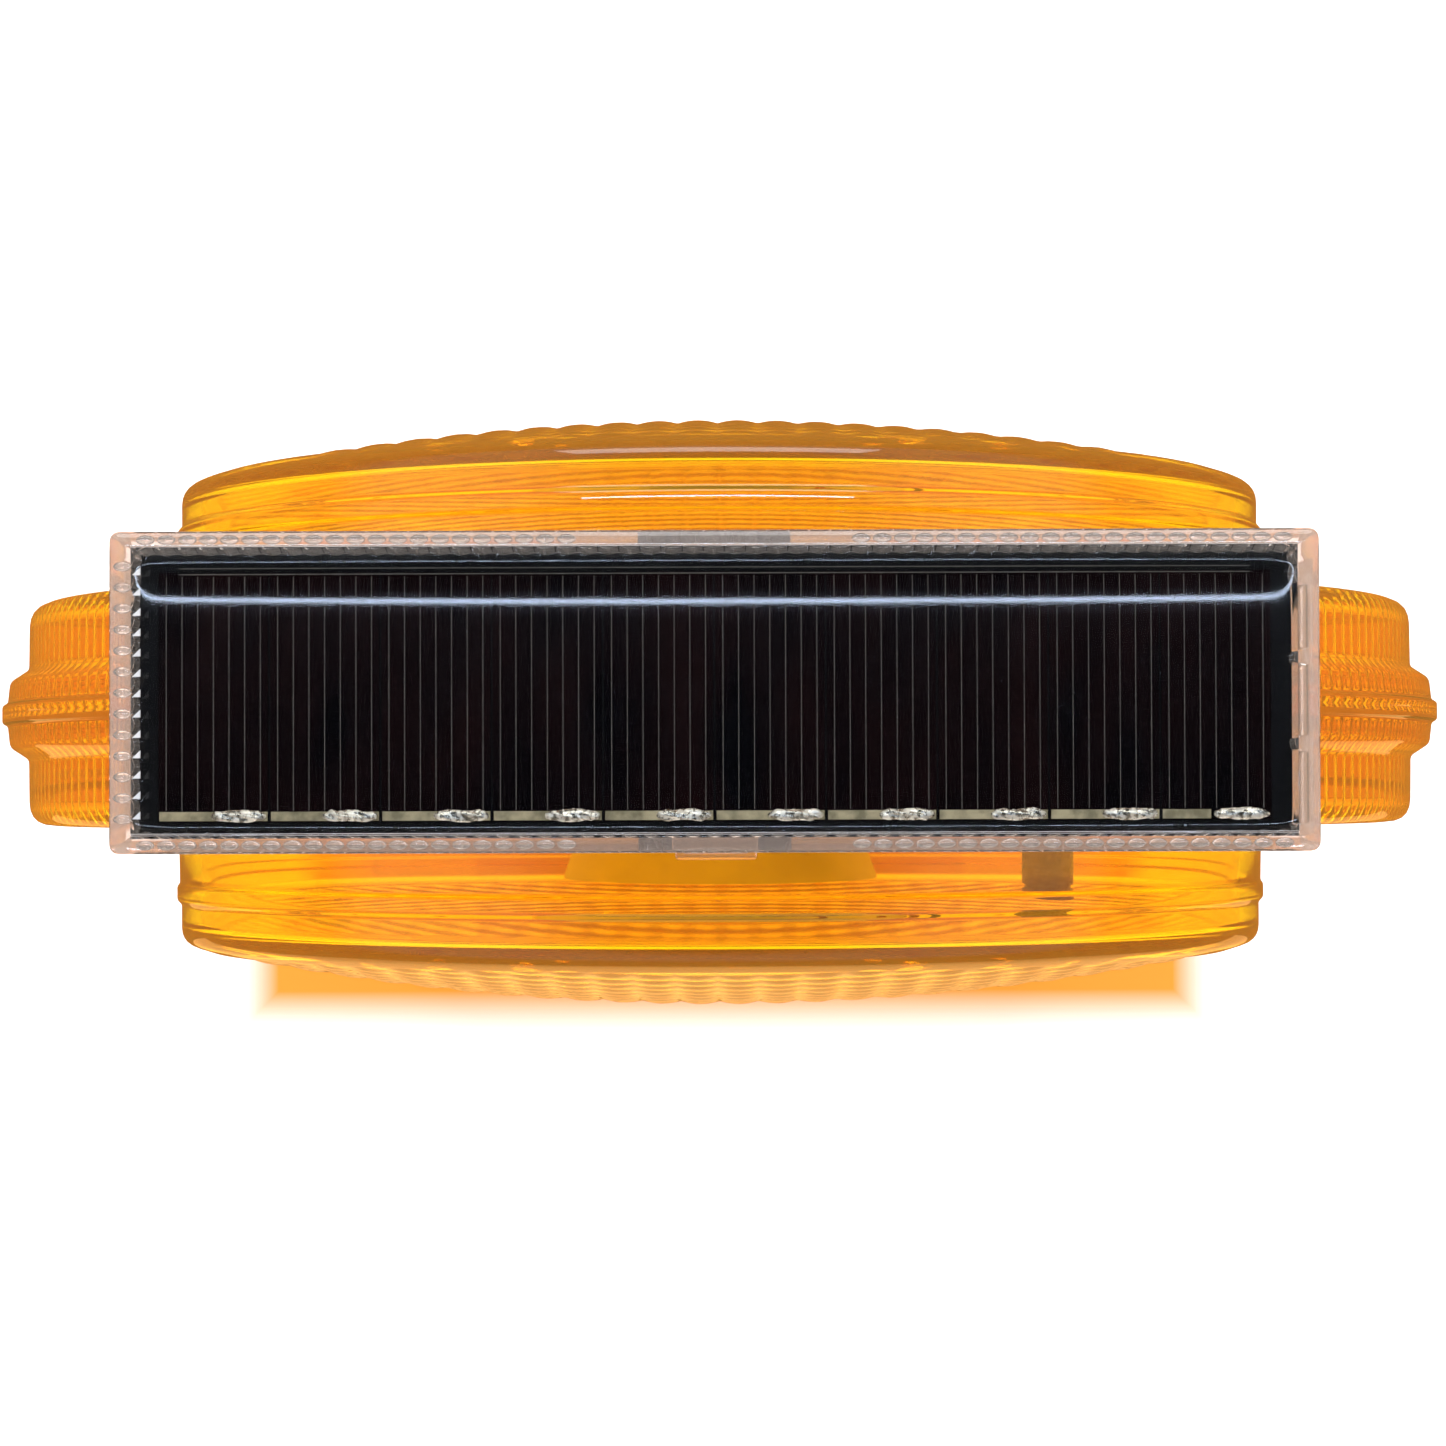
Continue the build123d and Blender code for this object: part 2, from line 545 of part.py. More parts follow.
def cell_caps():
    made = []
    for x, y, way in cell_spans():
        a = x + 48.4 if way > 0 else x + 0.1
        made.append(rod("x", a, a + 1.4, 3.4, y=y, z=CELL_Z))
    return made


def drawer_contacts():
    """Bridge spring at the panel end and the two end contacts."""
    bridge = block(53.0, 53.6, -CELL_Y - 6, CELL_Y + 6, CELL_Z - 5, CELL_Z + 5)
    for y in (-CELL_Y, CELL_Y):
        bridge += block(48.8, 53.2, y - 2.5, y + 2.5, CELL_Z + 3.4, CELL_Z + 4.0)
        bridge += block(48.7, 49.3, y - 2.5, y + 2.5, CELL_Z - 2.5, CELL_Z + 4.0)
    made = [bridge]
    for y in (-CELL_Y, CELL_Y):
        pad = block(-55.0, -51.8, y - 3.0, y + 3.0, CELL_Z + 3.4, CELL_Z + 4.0)
        pad += block(-55.0, -54.5, y - 3.0, y + 3.0, CELL_Z - 4.5, CELL_Z + 4.0)
        made.append(pad + block(-52.1, -51.6, y - 3.0, y + 3.0, CELL_Z - 3.0, CELL_Z + 4.0))
    return made


# ---- mode switch and the rotary connector ----
def switch_body():
    body = block(-60.5, -47.0, -9.0, 9.0, 60.0, 78.0) + rod("x", -65.6, -60.0, 4.5, z=69.0)
    for y in (-5.5, 0.0, 5.5):
        body += block(-47.5, -43.5, y - 0.4, y + 0.4, 61.5, 64.5)
    return body - rod("x", -66.0, -50.0, 3.35, z=69.0)


def switch_nut():
    hexagon = Plane.YZ * Pos(0, 69.0) * RegularPolygon(6.9, 6)
    return Pos(-65.4, 0, 0) * extrude(hexagon, 2.0) - rod("x", -66, -62, 4.5, z=69.0)


def switch_seal():
    return rod("x", -63.4, -63.0, 7.2, z=69.0) - rod("x", -64, -62, 4.5, z=69.0)


def switch_shaft():
    return rod("x", -72.0, -51.0, 3.0, z=69.0)


def switch_knob():
    """Round knob with a raised bar pointer, hollow underneath to clear the nut."""
    body = rod("x", -73.0, -63.9, 9.5, z=69.0)
    body = chamfer(body.edges().filter_by(lambda e: e.center().X < -72.9), 1.2)
    body += block(-75.0, -72.5, -1.6, 1.6, 69.0, 77.5)
    body -= rod("x", -66.2, -63.0, 7.8, z=69.0)
    return body - rod("x", -72.0, -63.0, 3.0, z=69.0)


def swivel_plug():
    """Rotary connector half that turns with the head."""
    body = rod("z", 62.0, 68.0, 5.5) + rod("z", 60.3, 62.5, 2.75)
    return body + Pos(0, 0, 60.3) * Sphere(2.75)


def swivel_jack():
    body = block(-8, 8, -8, 8, BAY_Z1, 61.6)
    body += block(-8, -6.2, -8, 8, 61.6, 66.0) + block(6.2, 8, -8, 8, 61.6, 66.0)
    return body - rod("z", BAY_Z1, 70, 3.1)


def case_wire(red):
    """From a bay contact, past the switch, to the rotary connector."""
    y = -CELL_Y if red else CELL_Y
    side = -1 if red else 1
    return wire([(-58.0, y, CELL_Z + 17.6), (-40.0, y, CELL_Z + 17.6), (-40.0, side * 5.0, 59.0),
                 (-8.0, side * 5.0, 59.0)], 1.5)


NODES = {
    "front_lens": front_lens, "rear_lens": rear_lens, "seam_gasket": seam_gasket,
    "lens_screws": lens_screws, "swivel_foot": swivel_foot, "foot_screws": foot_screws,
    "swivel_clip": swivel_clip, "swivel_washer": swivel_washer, "swivel_seal": swivel_seal,
    "led_carrier": led_carrier,
    "lamp_board_front": lambda: lamp_board(-1), "lamp_board_rear": lambda: lamp_board(1),
    "lamps_front": lambda: lamp_leds(-1), "lamps_rear": lambda: lamp_leds(1),
    "reflector_front": lambda: reflector(-1), "reflector_rear": lambda: reflector(1),
    "control_board": control_board, "control_chips": control_chips,
    "storage_capacitor": storage_capacitor, "solar_plug": solar_plug,
    "solar_wire_red": lambda: solar_wire(True), "solar_wire_black": lambda: solar_wire(False),
    "battery_wire_red": lambda: battery_wire(True), "battery_wire_black": lambda: battery_wire(False),
    "lamp_wires": lambda: [lamp_wire(-1), lamp_wire(1)],
    "solar_saddle": solar_saddle, "saddle_screws": saddle_screws, "wire_grommet": wire_grommet,
    "solar_tray": solar_tray, "front_latch": lambda: side_latch(-1), "rear_latch": lambda: side_latch(1),
    "latch_pins": lambda: [latch_pin(-1), latch_pin(1)],
    "panel_seal": panel_seal, "solar_board": solar_board, "solar_cells": solar_cells,
    "cell_ribbons": cell_ribbons, "panel_resin": panel_resin,
    "battery_case": battery_case, "bottom_plate": bottom_plate, "plate_gasket": plate_gasket,
    "plate_screws": plate_screws, "bolt_sleeve": bolt_sleeve, "battery_bay": battery_bay,
    "bay_contacts": bay_contacts, "battery_drawer": battery_drawer, "drawer_seal": drawer_seal,
    "drawer_screw": drawer_screw, "drawer_clip": drawer_clip, "thread_insert": thread_insert,
    "battery_cells": battery_cells, "cell_caps": cell_caps, "drawer_contacts": drawer_contacts,
    "switch_body": switch_body, "switch_nut": switch_nut, "switch_seal": switch_seal,
    "switch_shaft": switch_shaft, "switch_knob": switch_knob,
    "case_wires": lambda: [case_wire(True), case_wire(False)],
    "swivel_plug": swivel_plug, "swivel_jack": swivel_jack,
}


def main():
    os.makedirs("parts", exist_ok=True)
    for name, maker in NODES.items():
        shape = maker()
        if isinstance(shape, (list, tuple)):
            shape = Compound(children=[s for piece in shape for s in piece.solids()])
        shape.label = name
        export_step(shape, f"parts/{name}.step")


main()
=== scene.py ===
import json
import math
import random

import bmesh
import bpy
import numpy as np
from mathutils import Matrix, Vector


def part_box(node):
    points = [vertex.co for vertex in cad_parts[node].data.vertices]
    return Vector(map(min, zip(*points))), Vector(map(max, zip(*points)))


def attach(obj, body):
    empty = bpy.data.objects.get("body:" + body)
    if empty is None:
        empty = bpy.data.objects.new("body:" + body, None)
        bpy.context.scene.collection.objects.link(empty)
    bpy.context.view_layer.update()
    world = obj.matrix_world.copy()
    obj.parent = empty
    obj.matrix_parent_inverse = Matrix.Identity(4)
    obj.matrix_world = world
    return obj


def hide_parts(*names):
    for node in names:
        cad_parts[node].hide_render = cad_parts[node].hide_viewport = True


# Looks of a two-way solar barricade light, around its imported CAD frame.
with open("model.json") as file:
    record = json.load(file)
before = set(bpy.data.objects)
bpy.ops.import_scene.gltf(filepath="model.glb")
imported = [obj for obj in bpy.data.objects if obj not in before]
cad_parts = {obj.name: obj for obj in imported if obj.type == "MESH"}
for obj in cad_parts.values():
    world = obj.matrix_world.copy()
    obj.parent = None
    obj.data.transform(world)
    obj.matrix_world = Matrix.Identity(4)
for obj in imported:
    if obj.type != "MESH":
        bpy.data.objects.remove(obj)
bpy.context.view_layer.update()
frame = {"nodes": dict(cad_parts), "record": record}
MM = 0.001
SEED = 7


# ---------------------------------------------------------------- places and sizes
def low(node, axis):
    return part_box(node)[0][axis] / MM


def high(node, axis):
    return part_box(node)[1][axis] / MM


CZ = (low("front_lens", 2) + high("front_lens", 2)) / 2      # height of the lens centre
LIP_R = high("front_lens", 0)
DOME_Y = -low("front_lens", 1)                               # crown of the domes
RING_R, RING_Y, SEAM_Y = LIP_R - 3.5, 14.3, 5.8              # stepped ring beside the seam lip
DRUM_R, WALL = 71.9, 2.3
DOME_RHO = 320.0                                             # radius of the sphere of a dome
DOME_SINK = 0.45                                             # valleys of the pillows below the sphere
PILLOW, PILLOW_RISE = 5.0, 0.4                               # pitch and height of the lens pillows
FLUTES, FLUTE_DEPTH = 240, 0.9
DRUM_TURNS, DOME_STEPS, INNER_STEPS = 480, 62, 40
RESIN_X, RESIN_Y = high("panel_resin", 0), high("panel_resin", 1)
TRAY_X, TRAY_Y = RESIN_X + 2.15, RESIN_Y + 1.55
TRAY_Z0, TRAY_Z1 = low("solar_tray", 2), high("solar_tray", 2)
TRAY_EASE = 0.25                                             # rounding of the top edge
SLOT_Z1 = high("latch_pins", 2) + 0.7                        # top of the latch slots
RESIN_TOP = TRAY_Z1 - 1.15
CELL_TOP = high("solar_cells", 2)
CELL_X, CELL_PITCH, CELLS = low("solar_cells", 0), 11.3, 10
CELL_Y0, CELL_Y1 = low("solar_cells", 1), high("solar_cells", 1)
FINGERS, FINGER_PITCH, FINGER_HALF = 7, 1.59, 0.038
PRINT_SINK, PRINT_RISE = 0.02, 0.03                          # of the printed lines in and over the cells
LATCH_IN, LATCH_OUT, LATCH_LIP = 15.5, 16.4, 17.5            # faces of a latch, from the middle
LATCH_HALF, RIB_HALF, HOOK_HALF = 4.4, 3.4, 3.5
PIN_Y, BOSS_R = 15.3, 1.0


# ---------------------------------------------------------------- colour and materials
def srgb(code, alpha=1.0):
    """sRGB hex to the linear values that the shaders take."""
    parts = [int(code[i:i + 2], 16) / 255 for i in (0, 2, 4)]
    return [c / 12.92 if c <= 0.04045 else ((c + 0.055) / 1.055) ** 2.4 for c in parts] + [alpha]


def add(tree, kind, links=None, **settings):
    """Adds a node; settings are its attributes or its inputs' values, links its incoming wires."""
    made = tree.nodes.new(kind)
    for key, value in settings.items():
        if hasattr(made, key):
            setattr(made, key, value)
        else:
            made.inputs[key.replace("_", " ")].default_value = value
    for key, source in (links or {}).items():
        end = made.inputs[key] if isinstance(key, int) else made.inputs[key.replace("_", " ")]
        tree.links.new(source, end)
    return made


def begin(name, base, rough=0.4, metal=0.0, **more):
    """A new material: itself, its node tree, its surface shader and the place on the object."""
    mat = bpy.data.materials.new(name)
    mat.use_nodes = True
    shader = mat.node_tree.nodes["Principled BSDF"]
    shader.inputs["Base Color"].default_value = srgb(base)
    shader.inputs["Roughness"].default_value = rough
    shader.inputs["Metallic"].default_value = metal
    for key, value in more.items():
        shader.inputs[key.replace("_", " ")].default_value = value
    place = add(mat.node_tree, "ShaderNodeTexCoord").outputs["Object"]
    return mat, mat.node_tree, shader, place


def noise_at(tree, place, pitch_mm, detail=3.0, stretch=None):
    """Noise whose features are about pitch_mm across, stretched along an axis if asked."""
    if stretch:
        place = add(tree, "ShaderNodeMapping", {"Vector": place}, Scale=stretch).outputs[0]
    return add(tree, "ShaderNodeTexNoise", {"Vector": place}, Scale=1 / (pitch_mm * MM), Detail=detail)


def spread(tree, value, a, b, lo, hi):
    """Maps the range a to b onto lo to hi."""
    return add(tree, "ShaderNodeMapRange", {"Value": value}, From_Min=a, From_Max=b, To_Min=lo,
               To_Max=hi).outputs[0]


def roughen(tree, shader, value, lo, hi):
    """Roughness that wanders from lo to hi with a pattern."""
    tree.links.new(spread(tree, value, 0.35, 0.65, lo, hi), shader.inputs["Roughness"])


def emboss(tree, shader, value, depth_mm, strength):
    """Presses a pattern into the surface."""
    bump = add(tree, "ShaderNodeBump", {"Height": value}, Strength=strength, Distance=depth_mm * MM)
    tree.links.new(bump.outputs[0], shader.inputs["Normal"])


def tint(tree, shader, value, one, two, a=0.35, b=0.65):
    """Base colour that wanders from one hex to the other with a pattern."""
    ramp = add(tree, "ShaderNodeValToRGB", {"Fac": value})
    for stop, place, code in zip(ramp.color_ramp.elements, (a, b), (one, two)):
        stop.position = place
        stop.color = srgb(code)
    tree.links.new(ramp.outputs[0], shader.inputs["Base Color"])


def let_light_in(mat, tree, shader, code):
    """Shadow rays pass a clear wall, tinted, so that what it holds is lit as through a thin wall."""
    out = tree.nodes["Material Output"]
    path = add(tree, "ShaderNodeLightPath")
    clear = add(tree, "ShaderNodeBsdfTransparent", Color=srgb(code))
    mix = add(tree, "ShaderNodeMixShader", {0: path.outputs["Is Shadow Ray"], 1: shader.outputs[0],
                                            2: clear.outputs[0]})
    tree.links.new(mix.outputs[0], out.inputs["Surface"])
    return mat


def clear_moulding(name, base, shade, ior, rough, flow_mm, depth_mm, clear=1.0):
    """Clear injection moulding: sharp gloss, with faint flow ripple that bends what is behind."""
    mat, tree, shader, place = begin(name, base, rough, IOR=ior)
    shader.inputs["Transmission Weight"].default_value = clear
    flow = noise_at(tree, place, flow_mm, 2.0)
    emboss(tree, shader, flow.outputs[0], depth_mm, 0.5)
    return let_light_in(mat, tree, shader, shade)


PC_IOR, PMMA_IOR, EPOXY_IOR, LAMP_IOR = 1.585, 1.49, 1.52, 1.54      # refractive indices
AMBER_DYE = "FFFC00"                                                 # takes up blue only


def steep(mat, code, density):
    """Dye in the plastic: colour deepens with the length of the way through a wall."""
    dye = add(mat.node_tree, "ShaderNodeVolumeAbsorption", Color=srgb(code), Density=density)
    mat.node_tree.links.new(dye.outputs[0], mat.node_tree.nodes["Material Output"].inputs["Volume"])
    return mat


def plastic(name, base, other, grain_mm, rough=(0.35, 0.5), depth_mm=0.02, **more):
    """Moulded plastic: small shifts of shade, fine spark-eroded grain."""
    mat, tree, shader, place = begin(name, base, rough[0], **more)
    cloud = noise_at(tree, place, 9.0)
    grain = noise_at(tree, place, grain_mm, 4.0)
    tint(tree, shader, cloud.outputs[0], base, other)
    roughen(tree, shader, grain.outputs[0], *rough)
    emboss(tree, shader, grain.outputs[0], depth_mm, 0.6)
    return mat


def metal(name, base, other, rough, grain_mm, stretch, depth_mm=0.01):
    """Metal with a drawn, turned or plated surface, its marks running along one axis."""
    mat, tree, shader, place = begin(name, base, rough[0], 1.0)
    marks = noise_at(tree, place, grain_mm, 3.0, stretch)
    tint(tree, shader, marks.outputs[0], base, other)
    roughen(tree, shader, marks.outputs[0], *rough)
    emboss(tree, shader, marks.outputs[0], depth_mm, 0.5)
    return mat


# Polycarbonate, transparent amber, injection moulded: deeper where walls overlap
AMBER = steep(clear_moulding("amber_polycarbonate", "FFE070", "FFF4A8", PC_IOR, 0.035, 9.0, 0.006, 0.9),
              AMBER_DYE, 1500.0)
# The same plastic in the saddle, with less dye because its walls are thin
AMBER_PALE = steep(clear_moulding("amber_polycarbonate_thin", "FFDE6C", "FFF4A8", PC_IOR, 0.06, 5.0, 0.03,
                                  0.85), AMBER_DYE, 1100.0)
# Acrylic, clear, injection moulded: nearly colourless
ACRYLIC = clear_moulding("clear_acrylic", "FFF8F4", "FAFAF8", PMMA_IOR, 0.05, 4.0, 0.012, 0.94)
# Epoxy, clear, poured and cured: wet gloss with a slow ripple
RESIN = clear_moulding("clear_potting_resin", "FBFBF8", "FFFFFF", EPOXY_IOR, 0.06, 14.0, 0.008)
# Painted highlight: matt white plastic for thin lines and points that stand in for glints of light at the
# resin's edge
PAINTED_HIGHLIGHT = plastic("white_painted_highlight", "DDE2EA", "FFFFFF", 0.6, (0.3, 0.5))
SEAL_AMBER = plastic("silicone_amber_seal", "D98A25", "C97A1C", 0.6, (0.45, 0.6))
YELLOW = plastic("abs_safety_yellow", "F2A80E", "EFA40C", 0.35, (0.42, 0.6), 0.03)
WHITE = plastic("abs_white_moulding", "EDEBE4", "DFDDD4", 0.4, (0.4, 0.55))
BLACK = plastic("nylon_black_moulding", "1A1B1C", "232426", 0.4, (0.4, 0.58), 0.03)
RUBBER = plastic("epdm_black_rubber", "161616", "202020", 0.5, (0.65, 0.85), 0.03)
RED_PVC = plastic("pvc_red_insulation", "A81410", "8C0E0C", 1.0, (0.25, 0.35))
BLACK_PVC = plastic("pvc_black_insulation", "121214", "1C1C1E", 1.0, (0.25, 0.35))
SLEEVE = plastic("shrink_sleeve_brown", "5E1A0C", "481208", 0.8, (0.22, 0.32))
JACKET = plastic("shrink_wrap_blue", "2C5C94", "244C80", 0.8, (0.2, 0.3))
STAINLESS = metal("stainless_steel_turned", "A5A5A3", "8E8E8C", (0.22, 0.36), 0.15, (1, 1, 6))
SPRING = metal("spring_steel_drawn", "77787B", "66676A", (0.25, 0.38), 0.12, (0.1, 1, 1))
ZINC = metal("zinc_plated_steel", "B4B6B8", "9EA0A4", (0.28, 0.42), 2.0, (1, 0.3, 1))
NICKEL = metal("nickel_plated_strip", "C4C0B6", "B0ACA2", (0.16, 0.3), 0.8, (1, 1, 0.4))
BRASS = metal("brass_turned", "C8A24A", "B08C3C", (0.2, 0.34), 0.15, (6, 1, 1))


def board_green():
    """Glass-epoxy circuit board: green solder mask over faint copper tracks."""
    mat, tree, shader, place = begin("fr4_green_mask", "0C5A2A", 0.3)
    tracks = add(tree, "ShaderNodeTexBrick", {"Vector": place}, Scale=260.0, Mortar_Size=0.05,
                 Color1=srgb("0B5226"), Color2=srgb("0E6430"), Mortar=srgb("2E8A4C"))
    tree.links.new(tracks.outputs[0], shader.inputs["Base Color"])
    emboss(tree, shader, tracks.outputs["Fac"], 0.02, 0.5)
    return mat


def board_black():
    """Black solder mask under the resin, with a fine glass weave."""
    mat, tree, shader, place = begin("fr4_black_mask", "07070A", 0.35)
    weave = noise_at(tree, place, 0.5, 2.0)
    tint(tree, shader, weave.outputs[0], "020203", "050507")
    shader.inputs["Specular IOR Level"].default_value = 0.1
    emboss(tree, shader, weave.outputs[0], 0.01, 0.4)
    return mat


def silicon():
    """Polished silicon with a dark anti-reflection coat: near black, brown where it thins."""
    mat, tree, shader, place = begin("silicon_coated", "060507", 0.1, IOR=1.5)
    shader.inputs["Specular IOR Level"].default_value = 0.06
    cloud = noise_at(tree, place, 7.0, 3.0, (1.0, 0.35, 1.0))
    tint(tree, shader, cloud.outputs[0], "030305", "120708", 0.3, 0.7)
    fine = noise_at(tree, place, 3.0, 2.0)
    roughen(tree, shader, fine.outputs[0], 0.08, 0.16)
    return mat


def finger_silver():
    """Screen-printed silver paste, fired on: dull grey and grainy."""
    mat, tree, shader, place = begin("silver_paste_fired", "4A4945", 0.55)
    grit = noise_at(tree, place, 0.2, 3.0)
    tint(tree, shader, grit.outputs[0], "3A3936", "585651")
    emboss(tree, shader, grit.outputs[0], 0.02, 0.6)
    return mat


def busbar_khaki():
    """Tabbing strip under cured flux: khaki grey with darker stains."""
    mat, tree, shader, place = begin("tabbing_strip_fluxed", "8D8568", 0.45, 0.3)
    stain = noise_at(tree, place, 1.6, 4.0)
    tint(tree, shader, stain.outputs[0], "6E684F", "A39B7E")
    roughen(tree, shader, stain.outputs[0], 0.35, 0.6)
    return mat


def solder_tin():
    """Hand-dabbed tin solder: bright, crinkled, with dull frosted patches."""
    mat, tree, shader, place = begin("tin_solder_blob", "C9C8C0", 0.22, 1.0)
    crinkle = noise_at(tree, place, 0.5, 5.0)
    tint(tree, shader, crinkle.outputs[0], "8F8C80", "ECEAE0", 0.35, 0.6)
    roughen(tree, shader, crinkle.outputs[0], 0.12, 0.4)
    emboss(tree, shader, crinkle.outputs[0], 0.08, 0.9)
    return mat


def lamp_epoxy():
    """Tinted epoxy of a lamp: warm and clear."""
    return clear_moulding("lamp_epoxy_amber", "FFB450", "FFC060", LAMP_IOR, 0.04, 2.0, 0.01)


# Amber light that the lens throws on the paper: half size, middle along y and half width of its soft edge
CAST_X, CAST_Y, CAST_MID, CAST_EDGE = 0.090, 0.0495, -0.003, 0.004
PAPER_GLOW = 0.66


def floor_paper():
    """Matt white paper that glows a little, with the amber light of the lens painted on it."""
    mat, tree, shader, place = begin("paper_white_matt", "FFFFFF", 0.9)
    fibre = noise_at(tree, place, 1.5, 4.0)
    tint(tree, shader, fibre.outputs[0], "FCFCFC", "FFFFFF")
    apart = add(tree, "ShaderNodeSeparateXYZ", {"Vector": place})
    away = None
    for axis, half in (("X", CAST_X), ("Y", CAST_Y)):
        moved = add(tree, "ShaderNodeMath", {0: apart.outputs[axis]}, operation="SUBTRACT")
        moved.inputs[1].default_value = CAST_MID if axis == "Y" else 0.0
        size = add(tree, "ShaderNodeMath", {0: moved.outputs[0]}, operation="ABSOLUTE")
        past = add(tree, "ShaderNodeMath", {0: size.outputs[0]}, operation="SUBTRACT")
        past.inputs[1].default_value = half
        if away is None:
            away = past
        else:
            away = add(tree, "ShaderNodeMath", {0: away.outputs[0], 1: past.outputs[0]}, operation="MAXIMUM")
    edge = spread(tree, away.outputs[0], -CAST_EDGE, CAST_EDGE, 0.0, 1.0)
    cast = add(tree, "ShaderNodeValToRGB", {"Fac": edge})
    cast.color_ramp.elements[0].color = srgb("DE9838")
    cast.color_ramp.elements[1].color = srgb("FFFFFF")
    tree.links.new(cast.outputs[0], shader.inputs["Emission Color"])
    tree.links.new(cast.outputs[0], shader.inputs["Base Color"])
    shader.inputs["Emission Strength"].default_value = PAPER_GLOW
    return mat


GREEN, BOARD, SILICON = board_green(), board_black(), silicon()
FINGER, BUSBAR, SOLDER, LAMP = finger_silver(), busbar_khaki(), solder_tin(), lamp_epoxy()


# ---------------------------------------------------------------- mesh helpers
def piece(name, verts, faces, mat, body, stands_for=()):
    """A finished smooth mesh piece, given in millimetres, that rides on a CAD body."""
    mesh = bpy.data.meshes.new(name)
    mesh.from_pydata([tuple(c * MM for c in v) for v in verts], [], faces)
    mesh.materials.append(mat)
    mesh.polygons.foreach_set("use_smooth", [True] * len(mesh.polygons))
    mesh.validate()
    obj = bpy.data.objects.new(name, mesh)
    bpy.context.scene.collection.objects.link(obj)
    return settle(obj, body, stands_for)


def settle(obj, body, stands_for=()):
    """Ties a piece to its CAD body and the CAD nodes that it replaces."""
    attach(obj, body)
    if stands_for:
        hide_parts(*stands_for)
    return obj


def outward(obj):
    """Merges doubles and turns every face outwards."""
    work = bmesh.new()
    work.from_mesh(obj.data)
    bmesh.ops.remove_doubles(work, verts=work.verts, dist=1e-7)
    bmesh.ops.recalc_face_normals(work, faces=work.faces)
    work.to_mesh(obj.data)
    work.free()
    return obj


def sharpen(obj, degrees):
    """Creases between faces that meet at more than the angle stay crisp."""
    work = bmesh.new()
    work.from_mesh(obj.data)
    for edge in work.edges:
        if len(edge.link_faces) == 2 and edge.calc_face_angle(0) > math.radians(degrees):
            edge.smooth = False
    work.to_mesh(obj.data)
    work.free()
    return obj


CORNER_STEPS = 5


def rounded_path(points):
    """Polyline of (r, y, corner radius) with each corner turned into a short arc."""
    out = []
    for i, (x, y, r) in enumerate(points):
        if r == 0 or i in (0, len(points) - 1):
            out.append((x, y))
            continue
        here = np.array([x, y])
        a, b = np.array(points[i - 1][:2]) - here, np.array(points[i + 1][:2]) - here
        reach = min(r, 0.45 * np.linalg.norm(a), 0.45 * np.linalg.norm(b))
        p, q = here + a / np.linalg.norm(a) * reach, here + b / np.linalg.norm(b) * reach
        for k in range(CORNER_STEPS + 1):
            t = k / CORNER_STEPS
            out.append(tuple((1 - t) ** 2 * p + 2 * t * (1 - t) * here + t * t * q))
    return out


def dome(r, top):
    """Height of the spherical face at radius r, for a crown at top."""
    return top - (DOME_RHO - math.sqrt(DOME_RHO ** 2 - r * r))


def pillow(x, z):
    """Height of the lens pillows, 0 in the valleys and 1 on the crowns."""
    u = x / PILLOW - math.floor(x / PILLOW) - 0.5
    w = z / PILLOW - math.floor(z / PILLOW) - 0.5
    return (1 - 4 * u * u) * (1 - 4 * w * w)


# ---------------------------------------------------------------- amber lens halves
def turned(outer, inner, turns, side, lift=None, flute=None):
    """Closed shell from an outside and an inside path of (r, y), turned about the lens axis.

    lift(path, j, x, z) raises a point along y; flute(path, j, k) changes its radius.
    """
    verts, faces, starts = [], [], []
    angles = [2 * math.pi * k / turns for k in range(turns)]
    closed = outer[-1][0] > 0 and inner[-1][0] > 0
    for which, path in enumerate((outer, inner)):
        starts.append(len(verts))
        for j, (r, y) in enumerate(path):
            if r == 0:
                verts.append((0.0, side * y, CZ))
                continue
            for k, a in enumerate(angles):
                rr = r + (flute(which, j, k) if flute else 0.0)
                x, z = rr * math.cos(a), rr * math.sin(a)
                raised = lift(which, j, x, z) if lift else 0.0
                verts.append((x, side * (y + raised), CZ + z))
        for j in range(len(path) - 1):
            row = starts[-1] + j * turns
            for k in range(turns):
                m = (k + 1) % turns
                if path[j + 1][0] == 0:
                    faces.append((row + k, row + m, len(verts) - 1))
                else:
                    faces.append((row + k, row + m, row + turns + m, row + turns + k))
    for k in range(turns):
        m = (k + 1) % turns
        faces.append((starts[0] + k, starts[0] + m, starts[1] + m, starts[1] + k))
        if closed:
            a, b = starts[0] + (len(outer) - 1) * turns, starts[1] + (len(inner) - 1) * turns
            faces.append((a + k, a + m, b + m, b + k))
    return verts, faces


def lens_ring(side, node):
    """Lip and shoulder ring of one half, with fine axial flutes moulded inside the rim."""
    outer = rounded_path([
        (LIP_R, 0, 0), (LIP_R, 1.1, 0.3), (LIP_R - 0.7, 1.5, 0.3), (LIP_R - 1.0, 4.2, 0.6),
        (RING_R + 0.1, SEAM_Y, 0.5), (RING_R, RING_Y, 3.0), (DRUM_R + 2.6, RING_Y, 0)])
    inner = rounded_path([
        (LIP_R - 4.7, 0, 0), (LIP_R - 4.7, 3.6, 0.4), (RING_R - WALL, SEAM_Y, 0.4),
        (RING_R - WALL, RING_Y - WALL, 1.2), (DRUM_R + 2.6, RING_Y - WALL, 0)])
    first = sum(1 for r, _ in inner if r > RING_R - WALL - 1.5)

    def flute(which, j, k):
        if which == 0 or j >= first - 2:
            return 0.0
        return -FLUTE_DEPTH * (0.0, 1.0, 1.0, 0.0)[k % 4]

    verts, faces = turned(outer, inner, FLUTES * 4, side, flute=flute)
    return outward(piece(f"{node}_ring", verts, faces, AMBER, "head", (node,)))


